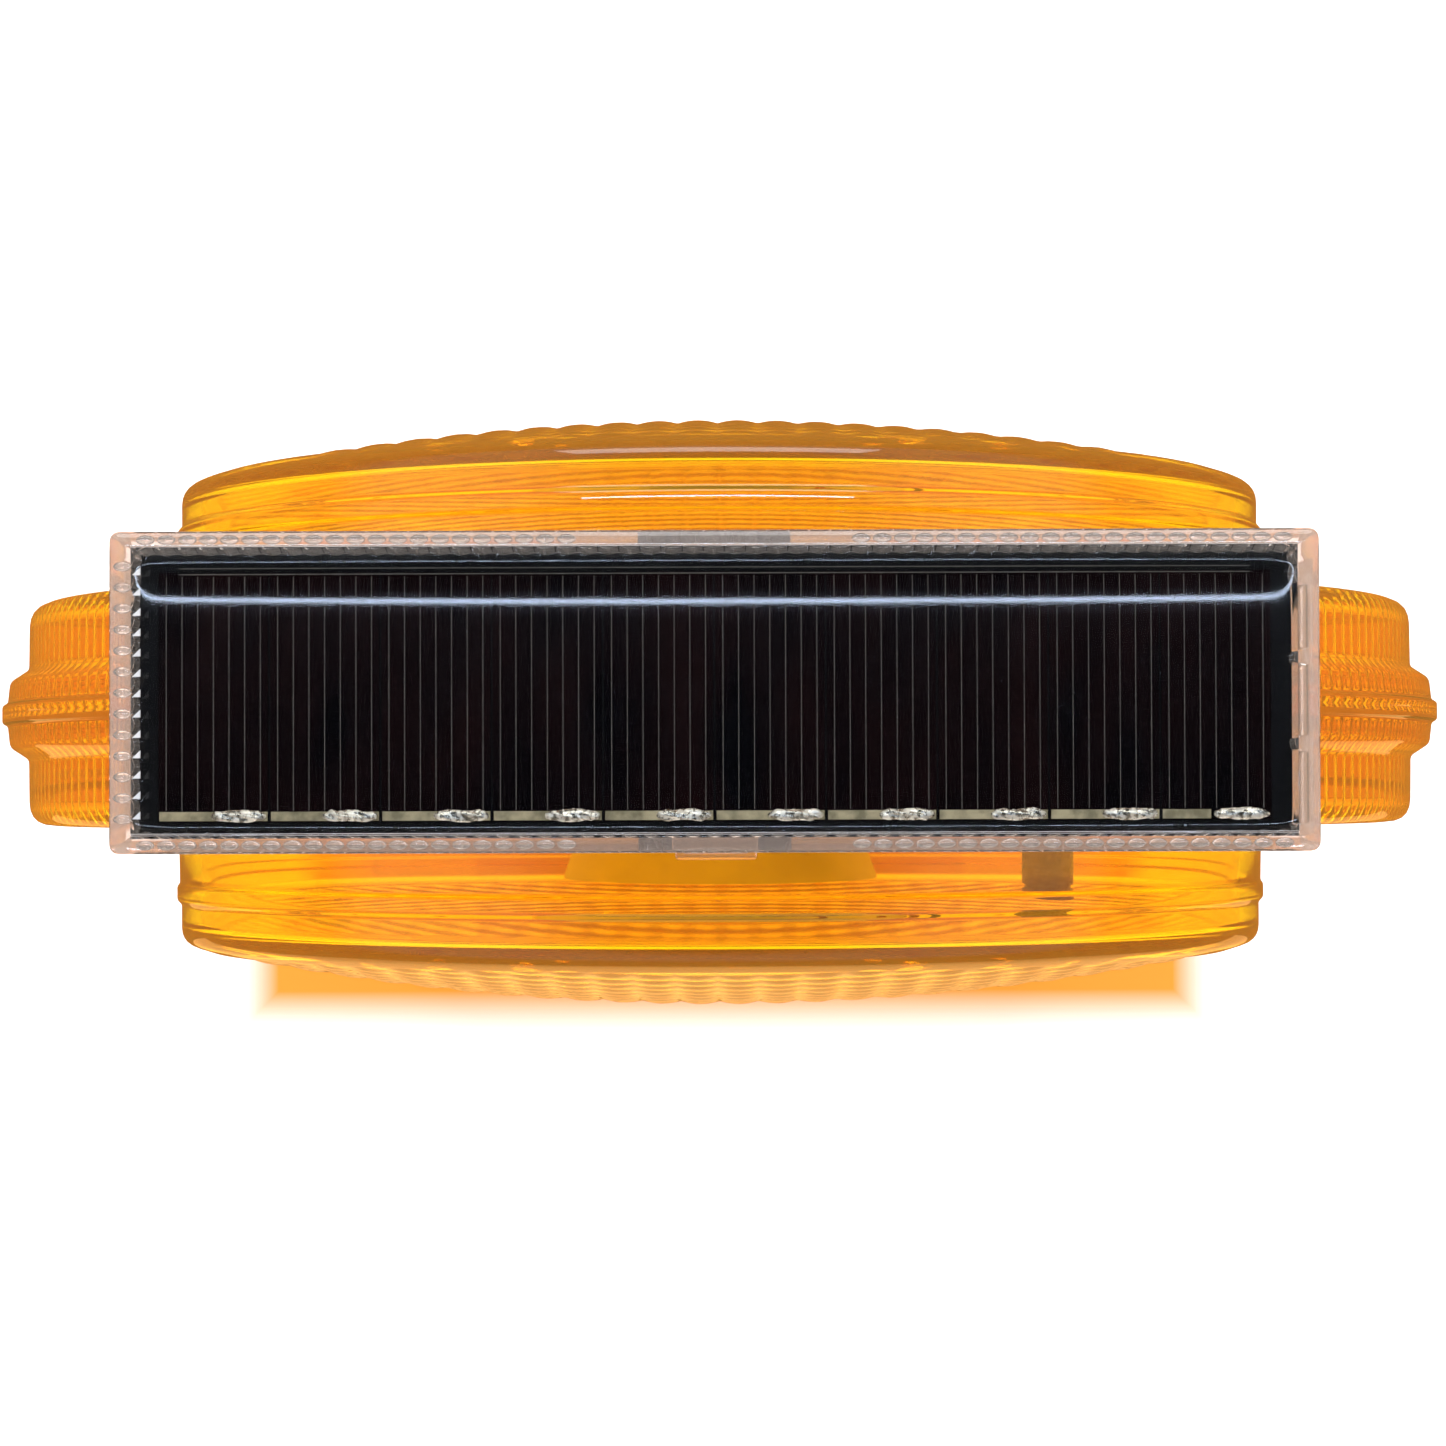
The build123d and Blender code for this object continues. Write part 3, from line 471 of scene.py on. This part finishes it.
def lens_drum(side, node):
    """Drum and domed lens of one half: pillow optics outside, smooth inside."""
    rim = dome(DRUM_R, DOME_Y)
    outer = rounded_path([
        (DRUM_R + 2.58, RING_Y, 0), (DRUM_R + 0.4, RING_Y, 0.8),
        (DRUM_R + 0.25, 22.0, 0.3), (DRUM_R + 0.6, 22.4, 0.3), (DRUM_R + 0.6, 24.2, 0.3),
        (DRUM_R, 24.8, 0.3), (DRUM_R, rim - 0.4, 2.4), (DRUM_R - 4.0, dome(DRUM_R - 4.0, DOME_Y), 0.6),
        (DRUM_R - 4.4, dome(DRUM_R - 4.4, DOME_Y) - 0.5, 0.3)])
    face_r, domed = DRUM_R - 5.0, len(outer)
    radii = [face_r * (1 - k / DOME_STEPS) for k in range(DOME_STEPS)]
    outer += [(r, dome(r, DOME_Y) - DOME_SINK) for r in radii]
    outer.append((0, dome(0, DOME_Y) - DOME_SINK))
    top, r0 = DOME_Y - WALL - 0.4, DRUM_R - WALL
    inner = rounded_path([(DRUM_R + 2.58, RING_Y - WALL, 0), (r0 + 0.2, RING_Y - WALL, 0.8),
                          (r0, dome(r0, top), 1.2), (r0 - 3, dome(r0 - 3, top), 0)])
    radii = [(r0 - 3) * (1 - k / INNER_STEPS) for k in range(1, INNER_STEPS)]
    inner += [(r, dome(r, top)) for r in radii] + [(0, dome(0, top))]

    def lift(which, j, x, z):
        if which or j < domed:
            return 0.0
        return PILLOW_RISE * pillow(x, z) * min(1.0, (face_r - math.hypot(x, z)) / 2.0 + 0.25)

    verts, faces = turned(outer, inner, DRUM_TURNS, side, lift=lift)
    return outward(piece(f"{node}_drum", verts, faces, AMBER, "head", (node,)))


for side, node in ((-1, "front_lens"), (1, "rear_lens")):
    lens_ring(side, node)
    lens_drum(side, node)


# ---------------------------------------------------------------- repeated ribs by Geometry Nodes
def ring_of_blocks(name, count, radius, size, depth_y, mat, body):
    """Small blocks evenly round the lens axis, at depth_y along it, by a node tree with named inputs."""
    tree = bpy.data.node_groups.new(name + "_tree", "GeometryNodeTree")
    face = tree.interface
    face.new_socket("Geometry", in_out="OUTPUT", socket_type="NodeSocketGeometry")
    wanted = {
        "Count": ("NodeSocketInt", count), "Radius": ("NodeSocketFloat", radius * MM),
        "Depth": ("NodeSocketFloat", depth_y * MM),
        "Size": ("NodeSocketVector", [s * MM for s in size])}
    sockets = {key: face.new_socket(key, in_out="INPUT", socket_type=kind)
               for key, (kind, _) in wanted.items()}
    given = tree.nodes.new("NodeGroupInput")
    out = tree.nodes.new("NodeGroupOutput")
    circle = add(tree, "GeometryNodeMeshCircle", {"Vertices": given.outputs["Count"],
                                                  "Radius": given.outputs["Radius"]})
    cube = add(tree, "GeometryNodeMeshCube", {"Size": given.outputs["Size"]})
    spot = add(tree, "GeometryNodeInputPosition")
    turn = add(tree, "FunctionNodeAlignRotationToVector", {"Vector": spot.outputs[0]}, axis="X")
    ring = add(tree, "GeometryNodeInstanceOnPoints", {
        "Points": circle.outputs[0], "Instance": cube.outputs[0], "Rotation": turn.outputs[0]})
    real = add(tree, "GeometryNodeRealizeInstances", {0: ring.outputs[0]})
    upright = add(tree, "GeometryNodeTransform", {"Geometry": real.outputs[0]})
    upright.inputs["Rotation"].default_value = (math.radians(90), 0, 0)
    shift = add(tree, "ShaderNodeCombineXYZ", {"Y": given.outputs["Depth"]}, Z=CZ * MM)
    moved = add(tree, "GeometryNodeTransform", {
        "Geometry": upright.outputs[0], "Translation": shift.outputs[0]})
    finish = add(tree, "GeometryNodeSetMaterial", {"Geometry": moved.outputs[0]})
    finish.inputs["Material"].default_value = mat
    tree.links.new(finish.outputs[0], out.inputs[0])
    host = bpy.data.objects.new(name + "_host", bpy.data.meshes.new(name + "_host"))
    bpy.context.scene.collection.objects.link(host)
    mod = host.modifiers.new("ring", "NODES")
    mod.node_group = tree
    for key, (_, value) in wanted.items():
        mod[sockets[key].identifier] = value
    graph = bpy.context.evaluated_depsgraph_get()
    mesh = bpy.data.meshes.new_from_object(host.evaluated_get(graph))
    mesh.name = name
    bpy.data.objects.remove(host)
    obj = bpy.data.objects.new(name, mesh)
    bpy.context.scene.collection.objects.link(obj)
    if not mesh.materials:
        mesh.materials.append(mat)
    return settle(obj, body)


for side, word in ((-1, "front"), (1, "rear")):
    ring_of_blocks(f"seam_teeth_{word}", FLUTES, LIP_R - 5.0, (0.8, 0.8, 1.6), side * 2.2, AMBER, "head")


# ---------------------------------------------------------------- clear tray
SCALLOP_PITCH, SCALLOP_DEPTH, SCALLOP_STEPS = 2.12, 0.42, 6
END_WINDOWS = ((-13.6, -6.2, 0.9), (-4.8, 2.6, 0.9), (4.0, 10.8, 0.9))      # from, to, depth
SLOT_HALF, SLOT_FLOOR = 5.0, 14.1
CELL_SHELF, TRAY_FLOOR, WEB_GAP = 3.0, 1.6, 0.02
PASSAGE, PASSAGE_R = 4.6, 4.5                                               # way for the lead
BUMP_X, BUMP_Y, BUMP_Z = 0.95, 0.5, 0.2
BUMPS_LONG, BUMPS_END, LATCH_CLEAR = 27, 6, 6
# count and pitch of the painted highlight points at the -X wall
HIGHLIGHT_POINTS, HIGHLIGHT_POINT_PITCH = 13, 2.05


def scalloped(x, y, pitch, depth, windows):
    """Inside outline of the tray: round flutes all along, flat pockets at the windows of the +X end."""
    points = []

    def side(a, b, horizontal, fixed, inward, spans=()):
        n = max(1, round(abs(b - a) / pitch))
        for k in range(n * SCALLOP_STEPS):
            t = a + (b - a) * k / (n * SCALLOP_STEPS)
            bump = depth * math.sin(math.pi * (k % SCALLOP_STEPS) / SCALLOP_STEPS)
            for lo, hi, cut in spans:
                if lo <= t <= hi:
                    bump = -cut
            wall = fixed - inward * bump
            points.append((t, wall) if horizontal else (wall, t))

    side(-x, x, True, -y, -1)
    side(-y, y, False, x, 1, windows)
    side(x, -x, True, y, 1)
    side(y, -y, False, -x, -1)
    return points


def rounded_rect(x, y, r):
    """Outline of a rectangle of half sizes x and y with its corners rounded to r."""
    points = []
    corners = ((x - r, y - r, 0), (-x + r, y - r, 90), (-x + r, -y + r, 180), (x - r, -y + r, 270))
    for cx, cy, start in corners:
        for k in range(CORNER_STEPS + 1):
            a = math.radians(start + 90 * k / CORNER_STEPS)
            points.append((cx + r * math.cos(a), cy + r * math.sin(a)))
    return points


def notched(outline):
    """Outline of the tray with the two slots that the latches swing in."""
    points = []
    for k, (x, y) in enumerate(outline):
        points.append((x, y))
        nx, ny = outline[(k + 1) % len(outline)]
        if abs(y - ny) < 0.01 and abs(nx - x) > 20:
            run, floor = math.copysign(SLOT_HALF, x), math.copysign(SLOT_FLOOR, y)
            points += [(run, y), (run, floor), (-run, floor), (-run, y)]
    return points


def wall_prism(work, outer, inner, z0, z1, eased=None):
    """Closed prism between two outlines; eased is the outer one again, drawn in at the very top."""
    loops = []
    for outline in (outer, inner):
        levels = [(z0, outline), (z1, outline)]
        if eased and outline is outer:
            levels = [(z0, outline), (z1 - TRAY_EASE, outline), (z1, eased)]
        stack = [[work.verts.new((px * MM, py * MM, z * MM)) for px, py in line] for z, line in levels]
        for low_row, high_row in zip(stack, stack[1:]):
            for k in range(len(outline)):
                j = (k + 1) % len(outline)
                work.faces.new((low_row[k], low_row[j], high_row[j], high_row[k]))
        loops.append((stack[0], stack[-1]))
    for level in (0, 1):
        edges = []
        for pair in loops:
            ring = pair[level]
            for k in range(len(ring)):
                a, b = ring[k], ring[(k + 1) % len(ring)]
                edges.append(work.edges.get((a, b)) or work.edges.new((a, b)))
        bmesh.ops.triangle_fill(work, use_beauty=True, edges=edges)


def from_bmesh(name, work, mats, body, stands_for=(), smooth_at=None):
    """Turns worked geometry into a finished piece; edges flatter than smooth_at degrees are smoothed."""
    bmesh.ops.recalc_face_normals(work, faces=work.faces)
    mesh = bpy.data.meshes.new(name)
    if smooth_at:
        for f in work.faces:
            f.smooth = True
        for e in work.edges:
            if len(e.link_faces) == 2 and e.calc_face_angle(0) > math.radians(smooth_at):
                e.smooth = False
    work.to_mesh(mesh)
    work.free()
    for mat in mats:
        mesh.materials.append(mat)
    obj = bpy.data.objects.new(name, mesh)
    bpy.context.scene.collection.objects.link(obj)
    return settle(obj, body, stands_for)


def box_into(work, x0, x1, y0, y1, z0, z1, bevel=0.0, mat=0):
    """Adds a box between two corners, its edges bevelled if asked, of the material at index mat."""
    made = bmesh.ops.create_cube(work, size=1.0)
    for v in made["verts"]:
        v.co = Vector(((x0 + x1) / 2 + v.co.x * (x1 - x0), (y0 + y1) / 2 + v.co.y * (y1 - y0),
                       (z0 + z1) / 2 + v.co.z * (z1 - z0))) * MM
    faces = {f for v in made["verts"] for f in v.link_faces}
    if bevel:
        edges = list({e for f in faces for e in f.edges})
        out = bmesh.ops.bevel(work, geom=edges, offset=bevel * MM, segments=2, affect="EDGES", profile=0.5)
        faces = set(out["faces"]) | {f for f in faces if f.is_valid}
    for f in faces:
        if f.is_valid:
            f.material_index = mat


def tray():
    """Clear tray: scalloped rim round the panel, ledge under it, slots for the latches, drilled floor."""
    work = bmesh.new()
    outer = rounded_rect(TRAY_X, TRAY_Y, 1.0)
    inner = scalloped(TRAY_X - 2.1, TRAY_Y - 1.5, SCALLOP_PITCH, SCALLOP_DEPTH, END_WINDOWS)
    ledge = rounded_rect(TRAY_X - 4.6, TRAY_Y - 3.2, 0.8)
    eased = rounded_rect(TRAY_X - TRAY_EASE, TRAY_Y - TRAY_EASE, 1.0 - TRAY_EASE)
    wall_prism(work, outer, inner, CELL_TOP - CELL_SHELF, TRAY_Z1, eased)
    slotted = notched(outer)
    passage = rounded_rect(PASSAGE, PASSAGE, PASSAGE_R)
    wall_prism(work, outer, ledge, SLOT_Z1 + WEB_GAP, CELL_TOP - CELL_SHELF - WEB_GAP)
    wall_prism(work, slotted, ledge, TRAY_Z0 + TRAY_FLOOR + WEB_GAP, SLOT_Z1)
    wall_prism(work, slotted, passage, TRAY_Z0, TRAY_Z0 + TRAY_FLOOR)
    # round lens-like bumps in a row along the top of the long walls and of the -X wall
    steps = [x for x in range(-BUMPS_LONG, BUMPS_LONG + 1) if abs(x) > LATCH_CLEAR]
    rows = [(x * SCALLOP_PITCH, s * (TRAY_Y - 0.88)) for s in (-1, 1) for x in steps]
    rows += [(-TRAY_X + 1.35, y * SCALLOP_PITCH) for y in range(-BUMPS_END, BUMPS_END + 1)]
    for x, y in rows:
        made = bmesh.ops.create_uvsphere(work, u_segments=12, v_segments=8, radius=1.0)
        for v in made["verts"]:
            v.co = Vector((x + BUMP_X * v.co.x, y + BUMP_Y * v.co.y, TRAY_Z1 + BUMP_Z * v.co.z)) * MM
        for f in {f for v in made["verts"] for f in v.link_faces}:
            f.smooth = True
    # painted highlights: a white line along the inside of both long walls, and white points at the flutes of
    # the -X wall, in place of glints of light at the resin's edge
    top = RESIN_TOP + 0.8
    for y0, y1 in ((RESIN_Y - 0.02, RESIN_Y + 0.2), (-RESIN_Y + 0.28, -RESIN_Y + 0.5)):
        box_into(work, -RESIN_X, RESIN_X, y0, y1, top, top + 0.12, 0.03, 1)
    for k in range(HIGHLIGHT_POINTS):
        y = (k - HIGHLIGHT_POINTS // 2) * HIGHLIGHT_POINT_PITCH
        foot = [(-RESIN_X + 0.15, y - 0.42), (-RESIN_X + 0.95, y - 0.42), (-RESIN_X + 0.95, y + 0.34)]
        lo, hi = [[work.verts.new(Vector((px, py, z)) * MM) for px, py in foot]
                  for z in (top - 0.1, top + 0.15)]
        made = [work.faces.new(lo), work.faces.new(hi)]
        made += [work.faces.new((lo[a], lo[(a + 1) % 3], hi[(a + 1) % 3], hi[a])) for a in range(3)]
        for f in made:
            f.material_index = 1
    # the second material is the painted highlight of the lines and points
    from_bmesh("clear_solar_tray", work, [ACRYLIC, PAINTED_HIGHLIGHT], "head", ("solar_tray",), 50)


tray()


# ---------------------------------------------------------------- solar panel
def cells_piece():
    """Coated cells with printed fingers, and two long printed lines behind them."""
    work = bmesh.new()
    z0, gap = low("solar_cells", 2), 0.2
    print_z0, print_z1 = CELL_TOP - PRINT_SINK, CELL_TOP + PRINT_RISE
    for i in range(CELLS):
        x0 = CELL_X + i * CELL_PITCH
        box_into(work, x0, x0 + CELL_PITCH - gap, CELL_Y0, CELL_Y1, z0, CELL_TOP, 0.04, 0)
        mid = x0 + (CELL_PITCH - gap) / 2
        for k in range(FINGERS):
            x = mid + (k - (FINGERS - 1) / 2) * FINGER_PITCH
            box_into(work, x - FINGER_HALF, x + FINGER_HALF, -11.9, 11.7, print_z0, print_z1, 0, 1)
    for y in (12.55, 11.95):
        box_into(work, CELL_X + 2.0, -CELL_X - 2.0, y - 0.05, y + 0.05, print_z0, print_z1, 0, 1)
    from_bmesh("coated_cells", work, [SILICON, FINGER], "head", ("solar_cells",))


def ribbons_piece():
    """Tabbing strip along the front edge of each cell, with a crinkled solder dab on it."""
    rng = random.Random(SEED)
    work = bmesh.new()
    for i in range(CELLS):
        x0 = CELL_X + i * CELL_PITCH
        end = x0 + CELL_PITCH - 0.25 if i < CELLS - 1 else x0 + 5.0
        box_into(work, x0 + 0.1, end, -12.95, -12.0, CELL_TOP - 0.02, CELL_TOP + 0.06, 0.02, 0)
        mid = x0 + CELL_PITCH / 2 + 2.45
        made = bmesh.ops.create_icosphere(work, subdivisions=4, radius=1.0)
        waves = [(rng.uniform(2, 6), rng.uniform(2, 9), rng.uniform(0, 6.3)) for _ in range(7)]
        for v in made["verts"]:
            x, y, z = v.co
            flat = math.copysign(abs(x) ** 0.6, x)
            crinkle = 1 + 0.11 * sum(math.sin(a * x * 2 + b * y + c) for a, b, c in waves) / 2
            v.co = Vector((mid + 2.75 * flat * (1 + 0.03 * crinkle), -12.45 + 0.62 * y * crinkle,
                           CELL_TOP + 0.05 + 0.3 * z * crinkle)) * MM
        for f in {f for v in made["verts"] for f in v.link_faces}:
            f.material_index = 1
            f.smooth = True
    from_bmesh("cell_tabs", work, [BUSBAR, SOLDER], "head", ("cell_ribbons",))


def resin_piece():
    """Poured resin: a low crown that falls off to the edges, with a meniscus up the tray walls."""
    nx, ny = 300, 100
    x1, y1, z0 = RESIN_X + 0.02, RESIN_Y + 0.02, low("panel_resin", 2) + 0.32
    xs = [x1 * math.sin(math.pi / 2 * (2 * i / nx - 1)) * 0.35 + x1 * (2 * i / nx - 1) * 0.65
          for i in range(nx + 1)]
    ys = [y1 * math.sin(math.pi / 2 * (2 * j / ny - 1)) * 0.5 + y1 * (2 * j / ny - 1) * 0.5
          for j in range(ny + 1)]
    rng = random.Random(SEED + 1)
    slow = [(rng.uniform(0.02, 0.09), rng.uniform(0.05, 0.2), rng.uniform(0, 6.3), rng.uniform(0.002, 0.004))
            for _ in range(6)]

    def height(x, y):
        dx, dy = max(x1 - abs(x), 0.0), max(y1 - abs(y), 0.0)
        lift = 0.75 * math.exp(-(dy / 0.8) ** 1.5) + 0.6 * math.exp(-(dx / 0.8) ** 1.5)
        across = 1 - abs(y / y1) ** (5 if y > 0 else 20)
        along = 1 - 0.12 * (x / x1) ** 4 - 0.88 * (x / x1) ** 70
        ripple = sum(d * math.sin(a * x + b * y + c) for a, b, c, d in slow)
        return RESIN_TOP + min(lift, 0.75) + 0.8 * across * along + ripple

    verts = [(x, y, height(x, y)) for y in ys for x in xs]
    faces = [(j * (nx + 1) + i, j * (nx + 1) + i + 1, (j + 1) * (nx + 1) + i + 1, (j + 1) * (nx + 1) + i)
             for j in range(ny) for i in range(nx)]
    rim = [i for i in range(nx + 1)] + [j * (nx + 1) + nx for j in range(1, ny + 1)]
    rim += [ny * (nx + 1) + i for i in range(nx - 1, -1, -1)] + [j * (nx + 1) for j in range(ny - 1, 0, -1)]
    base = len(verts)
    verts += [(verts[k][0], verts[k][1], z0) for k in rim]
    for k in range(len(rim)):
        j = (k + 1) % len(rim)
        faces.append((rim[k], base + k, base + j, rim[j]))
    faces.append(tuple(base + k for k in range(len(rim) - 1, -1, -1)))
    obj = piece("potting_resin", verts, faces, RESIN, "head", ("panel_resin",))
    sharpen(outward(obj), 40)


cells_piece()
ribbons_piece()
resin_piece()


# ---------------------------------------------------------------- latches
def latch(side, node, body):
    """Clear snap latch: flat arm, finger lip at the foot, ribs, hook, and a boss round its pin."""
    work = bmesh.new()
    z_low, z_top = low(node, 2), high(node, 2)

    def block(half, near, far, z0, z1, bevel):
        box_into(work, -half, half, *sorted((side * near, side * far)), z0, z1, bevel)

    block(LATCH_HALF, LATCH_IN, LATCH_OUT, z_low + 0.1, z_top - 1.2, 0.35)
    block(LATCH_HALF, LATCH_OUT - 0.3, LATCH_LIP, z_low + 0.05, z_low + 1.4, 0.3)
    for k in range(5):
        z = z_low + 3.0 + k * 1.5
        block(RIB_HALF, LATCH_OUT - 0.1, LATCH_OUT + 0.3, z, z + 0.6, 0.12)
    block(HOOK_HALF, 14.7, LATCH_IN + 0.2, z_low + 0.85, z_low + 2.75, 0.2)
    made = bmesh.ops.create_cone(work, cap_ends=True, segments=32, radius1=BOSS_R * MM, radius2=BOSS_R * MM,
                                 depth=2 * LATCH_HALF * MM)
    for v in made["verts"]:
        v.co = Vector((v.co.z, side * PIN_Y * MM + v.co.y, (z_top - 1.0) * MM + v.co.x))
    from_bmesh(f"{node}_moulding", work, [ACRYLIC], body, (node,), 40)


latch(-1, "front_latch", "front_clasp")
latch(1, "rear_latch", "rear_clasp")


# ---------------------------------------------------------------- finishes of the CAD nodes
FINISH = {
    "amber_polycarbonate": AMBER_PALE, "yellow_moulding": YELLOW, "clear_acrylic": ACRYLIC,
    "clear_resin": RESIN, "silicon_cells": SILICON, "black_board": BOARD, "tinned_copper": SOLDER,
    "stainless_steel": STAINLESS, "spring_steel": SPRING, "zinc_plated_steel": ZINC,
    "nickel_plate": NICKEL, "brass": BRASS, "white_plastic": WHITE, "black_plastic": BLACK,
    "green_board": GREEN, "amber_epoxy": LAMP, "brown_sleeve": SLEEVE, "red_insulation": RED_PVC,
    "black_insulation": BLACK_PVC, "black_rubber": RUBBER, "silicone_seal": SEAL_AMBER,
    "cell_jacket": JACKET}
for sub in frame["record"]["subparts"]:
    node = frame["nodes"][sub["node"]]
    for slot in node.material_slots:
        slot.material = FINISH[sub["material_slot"]]


# ---------------------------------------------------------------- floor, light and camera
def area_lamp(name, place, aim, size, power, tint_code="FFFFFF", mirrored=True):
    """A rectangular lamp that the camera never sees, and that surfaces mirror only if asked."""
    data = bpy.data.lights.new(name, "AREA")
    data.shape = "RECTANGLE"
    data.size, data.size_y = size
    data.energy = power
    data.color = srgb(tint_code)[:3]
    obj = bpy.data.objects.new(name, data)
    obj.location = place
    obj.visible_glossy = mirrored
    obj.visible_camera = False
    obj.rotation_euler = (Vector(aim) - Vector(place)).to_track_quat("-Z", "Y").to_euler()
    bpy.context.scene.collection.objects.link(obj)


# Colours of the room from below to above, as the surfaces mirror it; the camera sees a plain light grey
ROOM = ((0.05, "BC7A30"), (0.30, "AEAEAE"), (0.72, "AEAEAE"), (0.93, "08080A"))
ROOM_SEEN = "EDEDED"


def paper():
    half, z = 3.0, -0.0005
    mesh = bpy.data.meshes.new("paper_floor")
    corners = [(-half, -half, z), (half, -half, z), (half, half, z), (-half, half, z)]
    mesh.from_pydata(corners, [], [(0, 1, 2, 3)])
    mesh.materials.append(floor_paper())
    floor = bpy.data.objects.new("paper_floor", mesh)
    bpy.context.scene.collection.objects.link(floor)
    floor.visible_glossy = False      # the sides of the lens mirror the dim room, not the paper


def room():
    world = bpy.context.scene.world or bpy.data.worlds.new("soft_room")
    bpy.context.scene.world = world
    world.use_nodes = True
    tree = world.node_tree
    sky = add(tree, "ShaderNodeTexCoord").outputs["Generated"]
    up = add(tree, "ShaderNodeSeparateXYZ", {"Vector": sky}).outputs["Z"]
    ramp = add(tree, "ShaderNodeValToRGB", {"Fac": up})
    stops = ramp.color_ramp.elements
    while len(stops) < len(ROOM):
        stops.new(0.5)
    for stop, (place, code) in zip(stops, ROOM):
        stop.position = place
        stop.color = srgb(code)
    rays = add(tree, "ShaderNodeLightPath")
    seen = add(tree, "ShaderNodeMix", {0: rays.outputs["Is Camera Ray"], 6: ramp.outputs[0]},
               data_type="RGBA")
    seen.inputs[7].default_value = srgb(ROOM_SEEN)
    tree.links.new(seen.outputs[2], tree.nodes["Background"].inputs["Color"])
    tree.nodes["Background"].inputs["Strength"].default_value = 1.0
    bpy.context.scene.view_settings.view_transform = "Standard"


def lamps():
    """Strip and softbox behind, fills at the front and the sides, and a warm card before the lens."""
    area_lamp("overhead_strip", (0.0, 0.175, 1.50), (0, 0, 0.30), (1.3, 0.02), 1.8, "D4E4FF")
    area_lamp("rear_softbox", (0.0, 0.85, 0.95), (0, 0, 0.22), (1.1, 0.5), 7.0)
    area_lamp("front_fill", (0.0, -1.1, 0.8), (0, 0, 0.15), (1.2, 0.8), 5.0, mirrored=False)
    area_lamp("front_bounce_card", (0.0, -0.22, 0.004), (0.0, -0.22, 1.0), (0.5, 0.3), 0.45, "FFC47A")
    area_lamp("left_fill", (-1.2, 0.1, 0.6), (0, 0, 0.15), (0.8, 1.0), 3.2, mirrored=False)
    area_lamp("right_fill", (1.2, 0.1, 0.6), (0, 0, 0.15), (0.8, 1.0), 3.2, mirrored=False)


SENSOR, LENS_WIDTHS = 36.0, 3323.6 / 1446      # mm, and focal length in widths of the view
CAMERA_UP, CAMERA_TILT = 450.0, (0.020, 0.004, -0.003)


def camera():
    """Straight above, a little towards the front, looking down."""
    data = bpy.data.cameras.new("camera")
    data.sensor_width = SENSOR
    data.lens = LENS_WIDTHS * SENSOR
    data.clip_start = 0.01
    obj = bpy.data.objects.new("camera", data)
    obj.location = (2.2 * MM, -9.9 * MM, (CZ + CAMERA_UP) * MM)
    obj.rotation_euler = CAMERA_TILT
    bpy.context.scene.collection.objects.link(obj)
    bpy.context.scene.camera = obj


paper()
room()
lamps()
camera()
